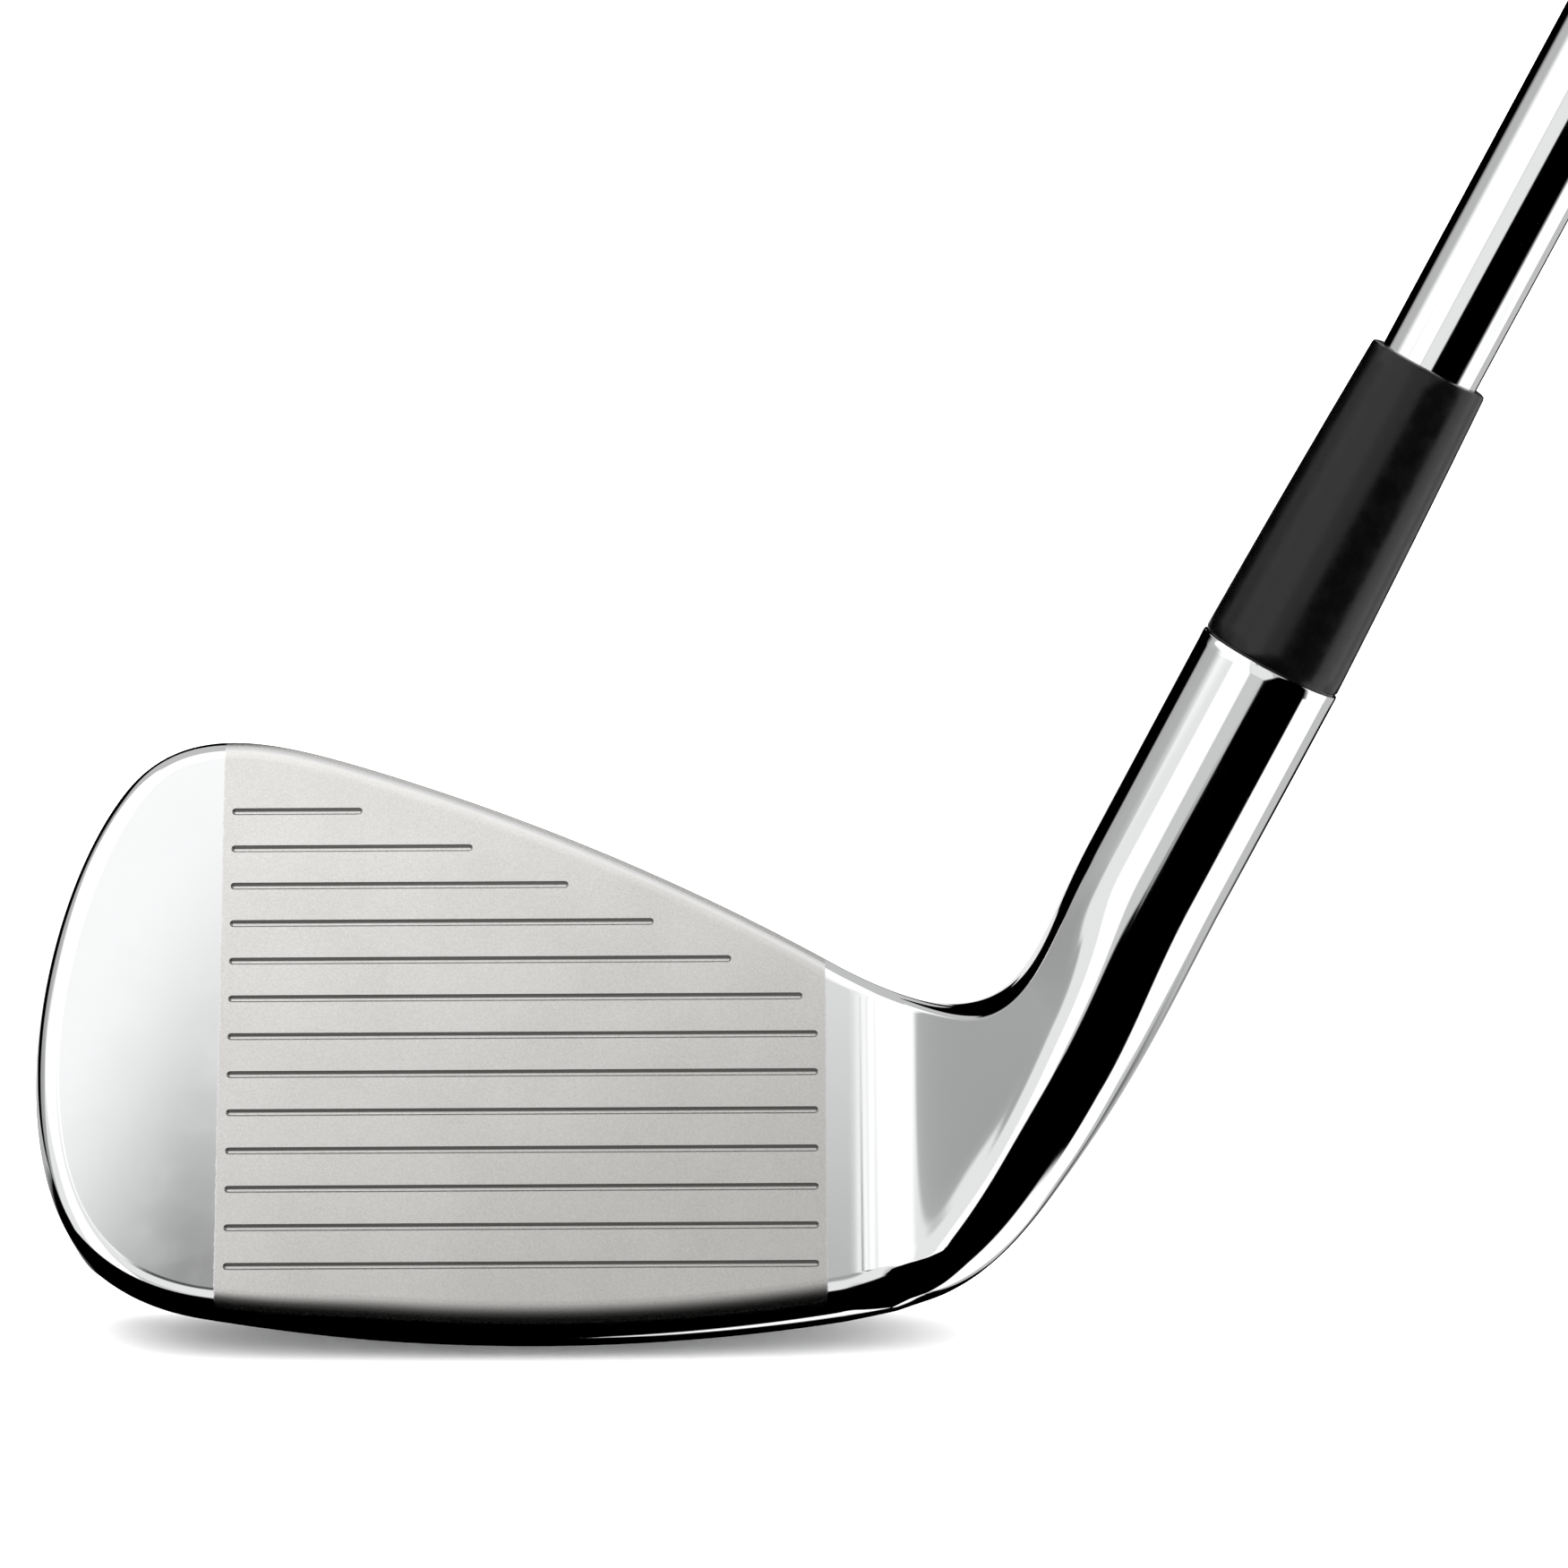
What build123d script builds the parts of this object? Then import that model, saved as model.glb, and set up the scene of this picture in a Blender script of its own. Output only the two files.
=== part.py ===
"""Right-handed seven iron: hollow steel head, ferrule, stepped steel shaft and rubber grip.

Millimetres. The club stands as it is held at address, its sole on the ground plane Z = 0. The origin is the
point where the shaft's centre line meets the ground. +X runs from the toe to the heel and the hands, -Y is
the way the face looks, +Z is up.
"""

import os
from math import cos, radians, sin, sqrt

from build123d import *

# ---- the whole club ----
LIE = 62.2  # angle between the shaft and the ground, degrees
LOFT = 28.0  # angle between the face and the vertical, degrees
CLUB_LENGTH = 940.0  # along the shaft, from the ground to the butt

# ---- blade outline: x along the ground, "up" measured along the sloping face ----
FACE_FOOT_Y = -5.8  # where the face plane, carried on down, meets the ground
HEEL_X = -4.0  # the blade ends and the neck begins
TOE_X = -80.05
TOE_UP = 29.45  # height up the face where the toe is widest
TOPLINE_CENTRE = (-116.5, -151.9)
TOPLINE_RADIUS = 221.0
CROWN_X = -50.0  # the topline arc ends and the toe curve begins
CROWN_HANDLE = 9.6
CROWN_SHOULDER = (-72.3, 56.6)
TOE_FOOT = (-65.0, 3.6)  # x and z where the toe curve meets the sole
BLADE_TOP_THICKNESS = 6.6
STEP_TOP_UP = 37.0  # the thin upper blade ends here and the step to the muscle begins
MUSCLE_TOP = (30.5, 8.6)  # up the face, and behind it
MUSCLE_FOOT = (14.5, 18.6)
STEP_ROUND = 4.0
EDGE_ROUND = 2.4
BACK_ROUND = 1.2

# ---- sole: a rocker from toe to heel, a camber from front to back ----
SOLE_X = -33.0
SOLE_Y = 8.6
ROCKER_RADIUS = 185.0
CAMBER_RADIUS = 36.0
SOLE_WALL = 3.0
BACK_WALL = 1.9

# ---- hosel, ferrule and shaft: stations are distances along the shaft from the ground ----
HOSEL_RADIUS = 6.8
HOSEL_TOP = 72.85
NECK_TOP = 50.0  # the neck has become the round hosel
BORE_RADIUS = 4.8
BORE_BOTTOM = 40.4
FERRULE_TOP = 103.1
FERRULE_FOOT_RADIUS = 6.68
FERRULE_HEAD_RADIUS = 5.68
FERRULE_SWELL = 0.07  # the ferrule's side bulges by this half-way up
FERRULE_LIP = 0.35
TIP_RADIUS = 4.7
TIP_WALL = 0.62
TIP_STATION = 41.9
BUTT_RADIUS = 7.62
BUTT_WALL = 0.33
FIRST_STEP = 270.0
STEP_PITCH = 25.4
STEP_COUNT = 14
STEP_SLOPE = 1.6  # length of the cone between two diameters
TIP_WEIGHT_HEAD_RADIUS = 4.65
TIP_WEIGHT_PIN_LENGTH = 12.0

# ---- grip ----
GRIP_LENGTH = 267.0
CAP_THICKNESS = 4.0
GRIP_MOUTH_RADIUS = 8.6
GRIP_BEAD_LENGTH = 4.0
GRIP_BUTT_RADIUS = 13.2
GRIP_TAPER = [(12, 8.95), (130, 10.7), (218, 12.2), (257, GRIP_BUTT_RADIUS)]  # from the mouth, radius
CAP_ROUND = 2.5
TAPE_THICKNESS = 0.15
VENT_RADIUS = 1.25
LABEL_START = 612.0
LABEL_LENGTH = 48.0
LABEL_THICKNESS = 0.08

# ---- face plate and scorelines ----
PLATE_THICKNESS = 2.3
PLATE_INSET = 3.4
PLATE_HEEL_X = -5.0
PLATE_FOOT_UP = 6.6
PLATE_TOE_FOOT_X = -61.5
PLATE_LEDGE = 1.6
GROOVE_COUNT = 13
GROOVE_PITCH = 3.66
LOWEST_GROOVE_UP = 10.0
GROOVE_WIDTH = 0.75
GROOVE_DEPTH = 0.42
GROOVE_TOE_X = -62.1
GROOVE_HEEL_X = -7.2
GROOVE_TOPLINE_GAP = 4.65  # clear distance from the upper scorelines' ends to the topline

# ---- badge on the rear wall ----
BADGE_LENGTH = 44.0
BADGE_HEIGHT = 10.5
BADGE_CORNER = 3.0
BADGE_X = -40.0
BADGE_Z = 13.4
BADGE_RECESS = 0.9
BADGE_LAYERS = {"badge_tape": 0.15, "badge_damper": 0.35, "badge_plate": 0.5}

# ---- weights and port screw ----
TOE_WEIGHT_END_X = -54.0
HEEL_WEIGHT_START_X = -19.0
WEIGHT_TOP_Z = 11.0
SCREW_UP = 29.0
SCREW_DEEP = 4.6
SCREW_HEAD_RADIUS = 2.5
SCREW_SHANK_RADIUS = 1.9
SCREW_HEAD_X = (-79.6, -77.4)
SCREW_TIP_X = -75.3
SCREW_POCKET = 6.0  # the threaded hole runs on past the screw's tip
SOCKET_RADIUS = 1.2
SOCKET_DEPTH = 1.3

FACE_SIN = sin(radians(LOFT))
FACE_COS = cos(radians(LOFT))
SHAFT_LINE = Vector(cos(radians(LIE)), 0, sin(radians(LIE)))
FACE = Plane(origin=(0, FACE_FOOT_Y, 0), x_dir=(1, 0, 0), z_dir=(0, -FACE_COS, FACE_SIN))
UPRIGHT = Plane(origin=(0, 0, 0), x_dir=(1, 0, 0), z_dir=(0, -1, 0))
FAR = 90.0  # further than any point of the head from the planes that cut it
BELOW = -12.0  # a height under the sole


def on_face(up, deep=0.0):
    """Y and Z of a point that is `up` along the face and `deep` behind it."""
    y = FACE_FOOT_Y + up * FACE_SIN + deep * FACE_COS
    z = up * FACE_COS - deep * FACE_SIN
    return (y, z)


def shaft_station(distance):
    """Plane square to the shaft, its origin on the shaft's centre line."""
    return Plane(origin=SHAFT_LINE * distance, x_dir=(0, 1, 0), z_dir=SHAFT_LINE)


def turned(profile):
    """Solid of revolution about the shaft; the profile lists (radius, station) pairs."""
    outline = Polyline(*profile, close=True)
    half = Plane(origin=(0, 0, 0), x_dir=(0, 1, 0), z_dir=SHAFT_LINE.cross(Vector(0, 1, 0)) * -1)
    return revolve(half * make_face(outline.edges()), Axis((0, 0, 0), SHAFT_LINE), 360)


def topline_up(x, inset=0.0):
    """Height of the topline arc at x, measured up the face."""
    radius = TOPLINE_RADIUS - inset
    return TOPLINE_CENTRE[1] + sqrt(radius**2 - (x - TOPLINE_CENTRE[0]) ** 2)


def topline_x(up, inset=0.0):
    """Place of the topline arc at a height up the face."""
    radius = TOPLINE_RADIUS - inset
    return TOPLINE_CENTRE[0] + sqrt(radius**2 - (up - TOPLINE_CENTRE[1]) ** 2)


# ---------------------------------------------------------------- head


def inset_curve(points, inset):
    """Cubic curve through the same bend as `points`, moved `inset` to its left."""
    corners = [Vector(point) for point in points]
    first_way = (corners[1] - corners[0]).normalized()
    last_way = (corners[3] - corners[2]).normalized()
    first = corners[0] + Vector(-first_way.Y, first_way.X) * inset
    last = corners[3] + Vector(-last_way.Y, last_way.X) * inset
    scale = (last - first).length / (corners[3] - corners[0]).length
    return Bezier(
        first,
        first + (corners[1] - corners[0]) * scale,
        last + (corners[2] - corners[3]) * scale,
        last,
    )


def crown_curves(heel_x, inset=0.0):
    """Topline, crown and upper toe, seen square to the face."""
    lean = (CROWN_X - TOPLINE_CENTRE[0]) / TOPLINE_RADIUS
    crown_x = CROWN_X - inset * lean
    stations = (heel_x, (heel_x + crown_x) / 2, crown_x)
    topline = ThreePointArc(*[(x, topline_up(x, inset)) for x in stations])
    start = Vector(CROWN_X, topline_up(CROWN_X))
    handle = start + Vector(-sqrt(1 - lean**2), lean) * CROWN_HANDLE
    crown = inset_curve([start, handle, (-67.2, 63.4), CROWN_SHOULDER], inset)
    upper_toe = inset_curve([CROWN_SHOULDER, (-77.1, 50.2), (TOE_X, 38.5), (TOE_X, TOE_UP)], inset)
    return [topline, crown, upper_toe]


def crown_outline():
    """Blade outline seen square to the face, open below."""
    curves = crown_curves(HEEL_X)
    rest = Polyline(curves[-1] @ 1, (TOE_X, BELOW), (HEEL_X, BELOW), curves[0] @ 0)
    return make_face([*curves, *rest.edges()])


def toe_outline(inset=0.0):
    """Blade outline seen from the front: lower toe, open above and along the sole."""
    lower_toe = inset_curve([(TOE_X, TOE_UP * FACE_COS), (TOE_X, 12.5), (-73.1, 6.3), TOE_FOOT], inset)
    side = (TOE_X + inset, FAR)
    rest = Polyline(lower_toe @ 1, (SOLE_X, BELOW), (0, BELOW), (0, FAR), side, lower_toe @ 0)
    return make_face([lower_toe, *rest.edges()])


def flat_outline(inset, heel_x, foot_up):
    """Closed outline inside the face: the crown curves, a lower toe curve and an arc along the sole."""
    crown = crown_curves(heel_x, inset)
    radius = ROCKER_RADIUS - inset
    stations = (PLATE_TOE_FOOT_X, (PLATE_TOE_FOOT_X + heel_x) / 2, heel_x)
    along_sole = [(x, foot_up + radius - sqrt(radius**2 - (x - SOLE_X) ** 2)) for x in stations]
    sole = ThreePointArc(*along_sole)
    toe_side = crown[-1] @ 1
    foot = sole @ 0
    lower_toe = Bezier(toe_side, toe_side - Vector(0, 11.5), foot - (sole % 0) * 8.5, foot)
    heel = Line(sole @ 1, crown[0] @ 0)
    return make_face([*crown, lower_toe, sole, heel])


def wedge_profile():
    """Side profile of the blade: thin above, a thick muscle below a rounded step."""
    step_top = on_face(STEP_TOP_UP, BLADE_TOP_THICKNESS)
    muscle_top = on_face(*MUSCLE_TOP)
    muscle_foot = on_face(*MUSCLE_FOOT)
    corners = [
        on_face(BELOW),
        on_face(FAR),
        on_face(FAR, BLADE_TOP_THICKNESS),
        step_top,
        muscle_top,
        tuple(2 * low - high for low, high in zip(muscle_foot, muscle_top)),
    ]
    profile = make_face(Polyline(*corners, close=True).edges())
    step = [
        vertex
        for vertex in profile.vertices()
        if min(abs(vertex.Y - step_top[1]), abs(vertex.Y - muscle_top[1])) < 0.01
    ]
    return fillet(step, STEP_ROUND)


def sole_body(inset=0.0):
    """Everything above the sole's double curve, or above a surface `inset` inside it."""
    camber = CAMBER_RADIUS - inset
    half_width = 25.0
    rise = CAMBER_RADIUS - sqrt(camber**2 - half_width**2)
    left = (SOLE_Y - half_width, rise)
    right = (SOLE_Y + half_width, rise)
    arc = ThreePointArc(left, (SOLE_Y, CAMBER_RADIUS - camber), right)
    rest = Polyline(right, (right[0], FAR), (left[0], FAR), left)
    rocker_axis = Axis((SOLE_X, 0, ROCKER_RADIUS), (0, 1, 0))
    profile = Plane.YZ.offset(SOLE_X) * make_face([arc, *rest.edges()])
    return revolve(profile.rotate(rocker_axis, -30), rocker_axis, 60)


def lies_on_face(edge):
    return all(abs((edge @ k - FACE.origin).dot(FACE.z_dir)) < 1e-3 for k in (0, 0.5, 1))


def lies_at_heel(edge):
    return all(abs((edge @ k).X - HEEL_X) < 1e-3 for k in (0, 0.5, 1))


def runs_along_blade(edge):
    return edge.geom_type == GeomType.LINE and abs((edge % 0.5).X) > 0.99


def make_blade():
    """Outside of the blade, from the toe to the neck."""
    crown = extrude(FACE * crown_outline(), -FAR)
    toe = extrude(UPRIGHT.offset(FAR / 2) * toe_outline(), -FAR)
    wedge = extrude(Plane.YZ.offset(-FAR) * wedge_profile(), FAR)
    blade = (crown & toe & wedge & sole_body()).solids()[0]
    front = [edge for edge in blade.edges() if lies_on_face(edge) and not lies_at_heel(edge)]
    blade = blade.fillet(EDGE_ROUND, front)
    rear_faces = [face for face in blade.faces() if face.normal_at().Y > 0.8]
    rear_edges = [edge for face in rear_faces for edge in face.edges()]
    rim = [edge for edge in rear_edges if not lies_at_heel(edge) and not runs_along_blade(edge)]
    return blade.fillet(BACK_ROUND, rim)


# Neck cross-sections fan about a line above the crotch. Each row: turn in degrees, distance from that line to
# the crotch side and to the heel side, and how far the shape has gone from blade (0) to round (1).
FAN_X = HEEL_X
FAN_Z = (NECK_TOP - FAN_X * SHAFT_LINE.X) / SHAFT_LINE.Z
NECK_REACH = (SHAFT_LINE * NECK_TOP - Vector(FAN_X, 0, FAN_Z)).length
NECK_SECTIONS = [
    (0, None, None, 0.0),
    (12, 28.0, 53.3, 0.12),
    (24, 29.3, 47.2, 0.42),
    (36, 27.5, 42.2, 0.76),
    (49, 25.0, 38.9, 0.95),
    (LIE, NECK_REACH - HOSEL_RADIUS, NECK_REACH + HOSEL_RADIUS, 1.0),
]


def blade_ring():
    """Points round the blade's end, each with the angle it takes on the round hosel."""
    top = topline_up(HEEL_X)
    sole = 2.3
    back = on_face(*MUSCLE_FOOT)[0]
    return [
        (0, on_face(top, 3.2)),
        (22, on_face(top - 0.2, 5.8)),
        (36, on_face(top - 1.6, BLADE_TOP_THICKNESS)),
        (50, on_face(top - 4, BLADE_TOP_THICKNESS)),
        (64, on_face(top - 7, 7.8)),
        (78, on_face(26, 11.4)),
        (94, on_face(21, 14.6)),
        (110, on_face(17, 17.0)),
        (124, (back, 5.6)),
        (134, (back - 0.3, 3.9)),
        (143, (back - 1.3, 3.3)),
        (160, (13.0, 2.6)),
        (178, (8.6, sole)),
        (200, (3.2, sole + 0.5)),
        (222, (-0.3, 3.7)),
        (245, (-2.15, 5.4)),
        (262, on_face(9.3)),
        (275, on_face(15)),
        (288, on_face(21)),
        (303, on_face(28)),
        (322, on_face(top - 3.2)),
        (342, on_face(top - 0.7, 0.8)),
    ]


def neck_section(turn, near, far, roundness):
    """One closed section of the neck, on its own plane through the fan line."""
    ring = blade_ring()
    heights = [FAN_Z - z for _, (_, z) in ring]
    first, last = min(heights), max(heights)
    near = first if near is None else near
    far = last if far is None else far
    down = Vector(sin(radians(turn)), 0, -cos(radians(turn)))
    points = []
    for angle, (y, z) in ring:
        blade_share = (FAN_Z - z - first) / (last - first)
        round_share = (1 - cos(radians(angle))) / 2
        share = blade_share + (round_share - blade_share) * roundness
        side = y + (HOSEL_RADIUS * sin(radians(angle)) - y) * roundness
        points.append(Vector(FAN_X, side, FAN_Z) + down * (near + (far - near) * share))
    half = len(points) // 2
    back = points[: half + 1]
    front = [*points[half:], points[0]]
    if roundness == 1:
        return make_face([ThreePointArc(side[0], side[half // 2], side[-1]) for side in (back, front)])
    return make_face([Spline(*back), Spline(*front)])


def make_neck():
    return loft([neck_section(*row) for row in NECK_SECTIONS])


def plate_outline():
    return flat_outline(PLATE_INSET, PLATE_HEEL_X, PLATE_FOOT_UP)


def inner_hollow():
    """Closed chamber behind the face plate."""
    inset = PLATE_INSET + PLATE_LEDGE
    window = FACE.offset(-PLATE_THICKNESS) * flat_outline(
        inset, PLATE_HEEL_X - PLATE_LEDGE, PLATE_FOOT_UP + PLATE_LEDGE
    )
    toe = UPRIGHT.offset(FAR / 2) * toe_outline(inset)
    wedge = Plane.YZ.offset(-FAR) * offset(wedge_profile(), -BACK_WALL, kind=Kind.ARC)
    chamber = extrude(window, -FAR) & extrude(toe, -FAR) & extrude(wedge, FAR)
    return (chamber & sole_body(SOLE_WALL)).solids()[0]


def groove_ends(up):
    heel = min(GROOVE_HEEL_X, topline_x(up, GROOVE_TOPLINE_GAP))
    return GROOVE_TOE_X, heel


def make_face_plate(outline):
    plate = extrude(FACE * outline, -PLATE_THICKNESS)
    for row in range(GROOVE_COUNT):
        up = LOWEST_GROOVE_UP + row * GROOVE_PITCH
        toe, heel = groove_ends(up)
        slot = Pos((toe + heel) / 2, up) * SlotOverall(heel - toe, GROOVE_WIDTH)
        plate -= extrude(FACE * slot, -GROOVE_DEPTH)
    return plate


def box_between(low, high):
    centre = [(a + b) / 2 for a, b in zip(low, high)]
    size = [b - a for a, b in zip(low, high)]
    return Pos(*centre) * Box(*size)


def badge_plane():
    """On the rear wall, looking out backwards."""
    upper, lower = on_face(*MUSCLE_TOP), on_face(*MUSCLE_FOOT)
    slope = (upper[0] - lower[0]) / (upper[1] - lower[1])
    y = lower[0] + (BADGE_Z - lower[1]) * slope
    return Plane(origin=(BADGE_X, y, BADGE_Z), x_dir=(-1, 0, 0), z_dir=(0, 1, -slope))


def badge_outline():
    return RectangleRounded(BADGE_LENGTH, BADGE_HEIGHT, BADGE_CORNER)


def make_badge_layers():
    layers = {}
    level = -BADGE_RECESS
    for name, thickness in BADGE_LAYERS.items():
        layers[name] = extrude(badge_plane().offset(level) * badge_outline(), thickness)
        level += thickness
    return layers


def screw_rod(radius, start_x, end_x):
    y, z = on_face(SCREW_UP, SCREW_DEEP)
    length = end_x - start_x
    return Plane(origin=(start_x, y, z), x_dir=(0, 1, 0), z_dir=(1, 0, 0)) * Cylinder(
        radius, length, align=(Align.CENTER, Align.CENTER, Align.MIN)
    )


def make_port_screw():
    head = screw_rod(SCREW_HEAD_RADIUS, *SCREW_HEAD_X)
    shank = screw_rod(SCREW_SHANK_RADIUS, SCREW_HEAD_X[1], SCREW_TIP_X)
    y, z = on_face(SCREW_UP, SCREW_DEEP)
    socket_plane = Plane(origin=(SCREW_HEAD_X[0], y, z), x_dir=(0, 1, 0), z_dir=(1, 0, 0))
    socket = extrude(socket_plane * RegularPolygon(SOCKET_RADIUS, 6), SOCKET_DEPTH)
    return head + shank - socket


def make_head():
    """The head's body, and the pieces whose shapes follow from its inside."""
    outline = plate_outline()
    hollow = inner_hollow()
    toe_box = box_between((TOE_X, -FAR, -FAR), (TOE_WEIGHT_END_X, FAR, WEIGHT_TOP_Z))
    heel_box = box_between((HEEL_WEIGHT_START_X, -FAR, -FAR), (HEEL_X, FAR, WEIGHT_TOP_Z))
    bore = [(0, BORE_BOTTOM), (BORE_RADIUS, BORE_BOTTOM), (BORE_RADIUS, HOSEL_TOP), (0, HOSEL_TOP)]
    hosel = shaft_station(NECK_TOP) * Cylinder(
        HOSEL_RADIUS, HOSEL_TOP - NECK_TOP, align=(Align.CENTER, Align.CENTER, Align.MIN)
    )
    body = make_blade() + make_neck() + hosel
    body -= hollow
    body -= extrude(FACE.offset(1) * outline, -PLATE_THICKNESS - 1)
    body -= turned(bore)
    body -= extrude(badge_plane().offset(-BADGE_RECESS) * badge_outline(), 5)
    body -= screw_rod(SCREW_HEAD_RADIUS, -FAR, SCREW_HEAD_X[1])
    body -= screw_rod(SCREW_SHANK_RADIUS, SCREW_HEAD_X[1], SCREW_TIP_X + SCREW_POCKET)
    return {
        "head_body": body,
        "face_plate": make_face_plate(outline),
        "toe_weight": hollow & toe_box,
        "heel_weight": hollow & heel_box,
        "urethane_fill": hollow - toe_box - heel_box,
        "port_screw": make_port_screw(),
        **make_badge_layers(),
    }


# ---------------------------------------------------------------- hosel joint and shaft


def sleeve(inner, outer, start, end):
    return turned([(inner, start), (outer, start), (outer, end), (inner, end)])


def make_ferrule():
    middle = (HOSEL_TOP + FERRULE_TOP) / 2
    middle_radius = (FERRULE_FOOT_RADIUS + FERRULE_HEAD_RADIUS) / 2 + FERRULE_SWELL
    return turned(
        [
            (TIP_RADIUS, HOSEL_TOP),
            (FERRULE_FOOT_RADIUS - FERRULE_LIP / 2, HOSEL_TOP),
            (FERRULE_FOOT_RADIUS, HOSEL_TOP + FERRULE_LIP),
            (middle_radius, middle),
            (FERRULE_HEAD_RADIUS, FERRULE_TOP - FERRULE_LIP),
            (FERRULE_HEAD_RADIUS - FERRULE_LIP, FERRULE_TOP),
            (TIP_RADIUS, FERRULE_TOP),
        ]
    )


def make_tip_weight():
    """Brass pin: its head rests on the bore's floor, its shank fills the shaft's tip."""
    pin_radius = TIP_RADIUS - TIP_WALL
    pin_end = TIP_STATION + TIP_WEIGHT_PIN_LENGTH
    return turned(
        [
            (0, BORE_BOTTOM),
            (TIP_WEIGHT_HEAD_RADIUS, BORE_BOTTOM),
            (TIP_WEIGHT_HEAD_RADIUS, TIP_STATION),
            (pin_radius, TIP_STATION),
            (pin_radius, pin_end),
            (0, pin_end),
        ]
    )


def make_shaft():
    """Steel tube whose outside grows in equal steps while its wall thins."""
    butt_end = CLUB_LENGTH - CAP_THICKNESS
    rise = (BUTT_RADIUS - TIP_RADIUS) / STEP_COUNT
    outside = [(TIP_RADIUS, TIP_STATION)]
    for step in range(STEP_COUNT):
        station = FIRST_STEP + step * STEP_PITCH
        outside.append((TIP_RADIUS + step * rise, station))
        outside.append((TIP_RADIUS + (step + 1) * rise, station + STEP_SLOPE))
    outside.append((BUTT_RADIUS, butt_end))
    inside = [
        (BUTT_RADIUS - BUTT_WALL, butt_end),
        (BUTT_RADIUS - BUTT_WALL, FIRST_STEP + STEP_COUNT * STEP_PITCH),
        (TIP_RADIUS - TIP_WALL, FIRST_STEP),
        (TIP_RADIUS - TIP_WALL, TIP_STATION),
    ]
    return turned(outside + inside)


# ---------------------------------------------------------------- grip


def make_grip():
    """Tapered rubber sleeve with a small bead at its mouth."""
    inner = BUTT_RADIUS + TAPE_THICKNESS
    mouth = CLUB_LENGTH - GRIP_LENGTH
    butt_end = CLUB_LENGTH - CAP_THICKNESS
    bead = [
        (inner, mouth),
        (GRIP_MOUTH_RADIUS - 0.3, mouth),
        (GRIP_MOUTH_RADIUS, mouth + 1),
        (GRIP_MOUTH_RADIUS, mouth + GRIP_BEAD_LENGTH),
    ]
    taper = [(radius, mouth + distance) for distance, radius in GRIP_TAPER]
    return turned(bead + taper + [(GRIP_BUTT_RADIUS, butt_end), (inner, butt_end)])


def make_grip_cap():
    """Disc over the butt, with a rounded rim and a vent hole into the shaft."""
    foot = CLUB_LENGTH - CAP_THICKNESS
    disc = turned(
        [
            (VENT_RADIUS, foot),
            (GRIP_BUTT_RADIUS, foot),
            (GRIP_BUTT_RADIUS, CLUB_LENGTH),
            (VENT_RADIUS, CLUB_LENGTH),
        ]
    )
    circles = disc.edges().filter_by(GeomType.CIRCLE).sort_by(Axis((0, 0, 0), SHAFT_LINE))
    rim = circles[-2:].sort_by(SortBy.RADIUS)[-1]
    return fillet(rim, CAP_ROUND)


def make_shaft_group():
    tape_start = CLUB_LENGTH - GRIP_LENGTH + 2
    return {
        "hosel_epoxy": sleeve(TIP_RADIUS, BORE_RADIUS, TIP_STATION, HOSEL_TOP),
        "tip_weight": make_tip_weight(),
        "ferrule": make_ferrule(),
        "shaft": make_shaft(),
        "shaft_label": sleeve(
            BUTT_RADIUS, BUTT_RADIUS + LABEL_THICKNESS, LABEL_START, LABEL_START + LABEL_LENGTH
        ),
        "grip_tape": sleeve(
            BUTT_RADIUS, BUTT_RADIUS + TAPE_THICKNESS, tape_start, CLUB_LENGTH - CAP_THICKNESS
        ),
        "grip": make_grip(),
        "grip_cap": make_grip_cap(),
    }


def main():
    os.makedirs("parts", exist_ok=True)
    for name, solid in {**make_head(), **make_shaft_group()}.items():
        export_step(solid, f"parts/{name}.step")


main()
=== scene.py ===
"""Looks of a right-handed chrome seven iron: mirror-polished and bead-blasted head, black ferrule,
stepped chrome shaft and rubber grip, standing on a pale studio floor.

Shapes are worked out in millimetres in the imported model's frame. new_mesh() and make_plate() turn them
into metres.
"""

from math import asin, cos, degrees, pi, radians, sin, sqrt, tan, tau

import bmesh
import bpy
import numpy as np
from mathutils import Matrix, Vector


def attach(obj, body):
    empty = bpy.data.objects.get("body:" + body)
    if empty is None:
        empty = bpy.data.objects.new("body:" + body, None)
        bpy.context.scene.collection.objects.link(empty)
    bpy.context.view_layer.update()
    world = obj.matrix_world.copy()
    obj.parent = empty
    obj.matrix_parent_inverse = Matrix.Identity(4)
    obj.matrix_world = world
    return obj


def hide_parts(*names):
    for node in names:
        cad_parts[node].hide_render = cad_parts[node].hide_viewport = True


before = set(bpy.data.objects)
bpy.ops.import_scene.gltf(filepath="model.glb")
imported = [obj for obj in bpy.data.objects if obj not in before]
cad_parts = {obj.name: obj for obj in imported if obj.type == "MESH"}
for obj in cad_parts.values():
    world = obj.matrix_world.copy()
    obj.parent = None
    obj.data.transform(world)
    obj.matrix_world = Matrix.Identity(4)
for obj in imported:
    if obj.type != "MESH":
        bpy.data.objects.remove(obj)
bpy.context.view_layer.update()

scene = bpy.context.scene

# ---- sizes shared with the CAD model, in millimetres ----
LIE = radians(62.2)
LOFT = radians(28.0)
CLUB_LENGTH = 940.0
FACE_FOOT_Y = -5.8
HEEL_X = -5.0
TOE_X, TOE_UP = -80.05, 29.45
TOPLINE_CENTRE = (-116.5, -151.9)
TOPLINE_RADIUS = 221.0
CROWN_X = -50.0
CROWN_HANDLE = 9.6
CROWN_SHOULDER = (-72.3, 56.6)
SOLE_X, SOLE_Y = -33.0, 8.6
ROCKER_RADIUS = 185.0
CAMBER_RADIUS = 36.0
HOSEL_RADIUS = 6.8
HOSEL_TOP = 72.85
NECK_TOP = 50.0
BORE_RADIUS = 4.8
BORE_BOTTOM = 40.4
FERRULE_TOP = 103.1
TIP_RADIUS, BUTT_RADIUS = 4.7, 7.62
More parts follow.
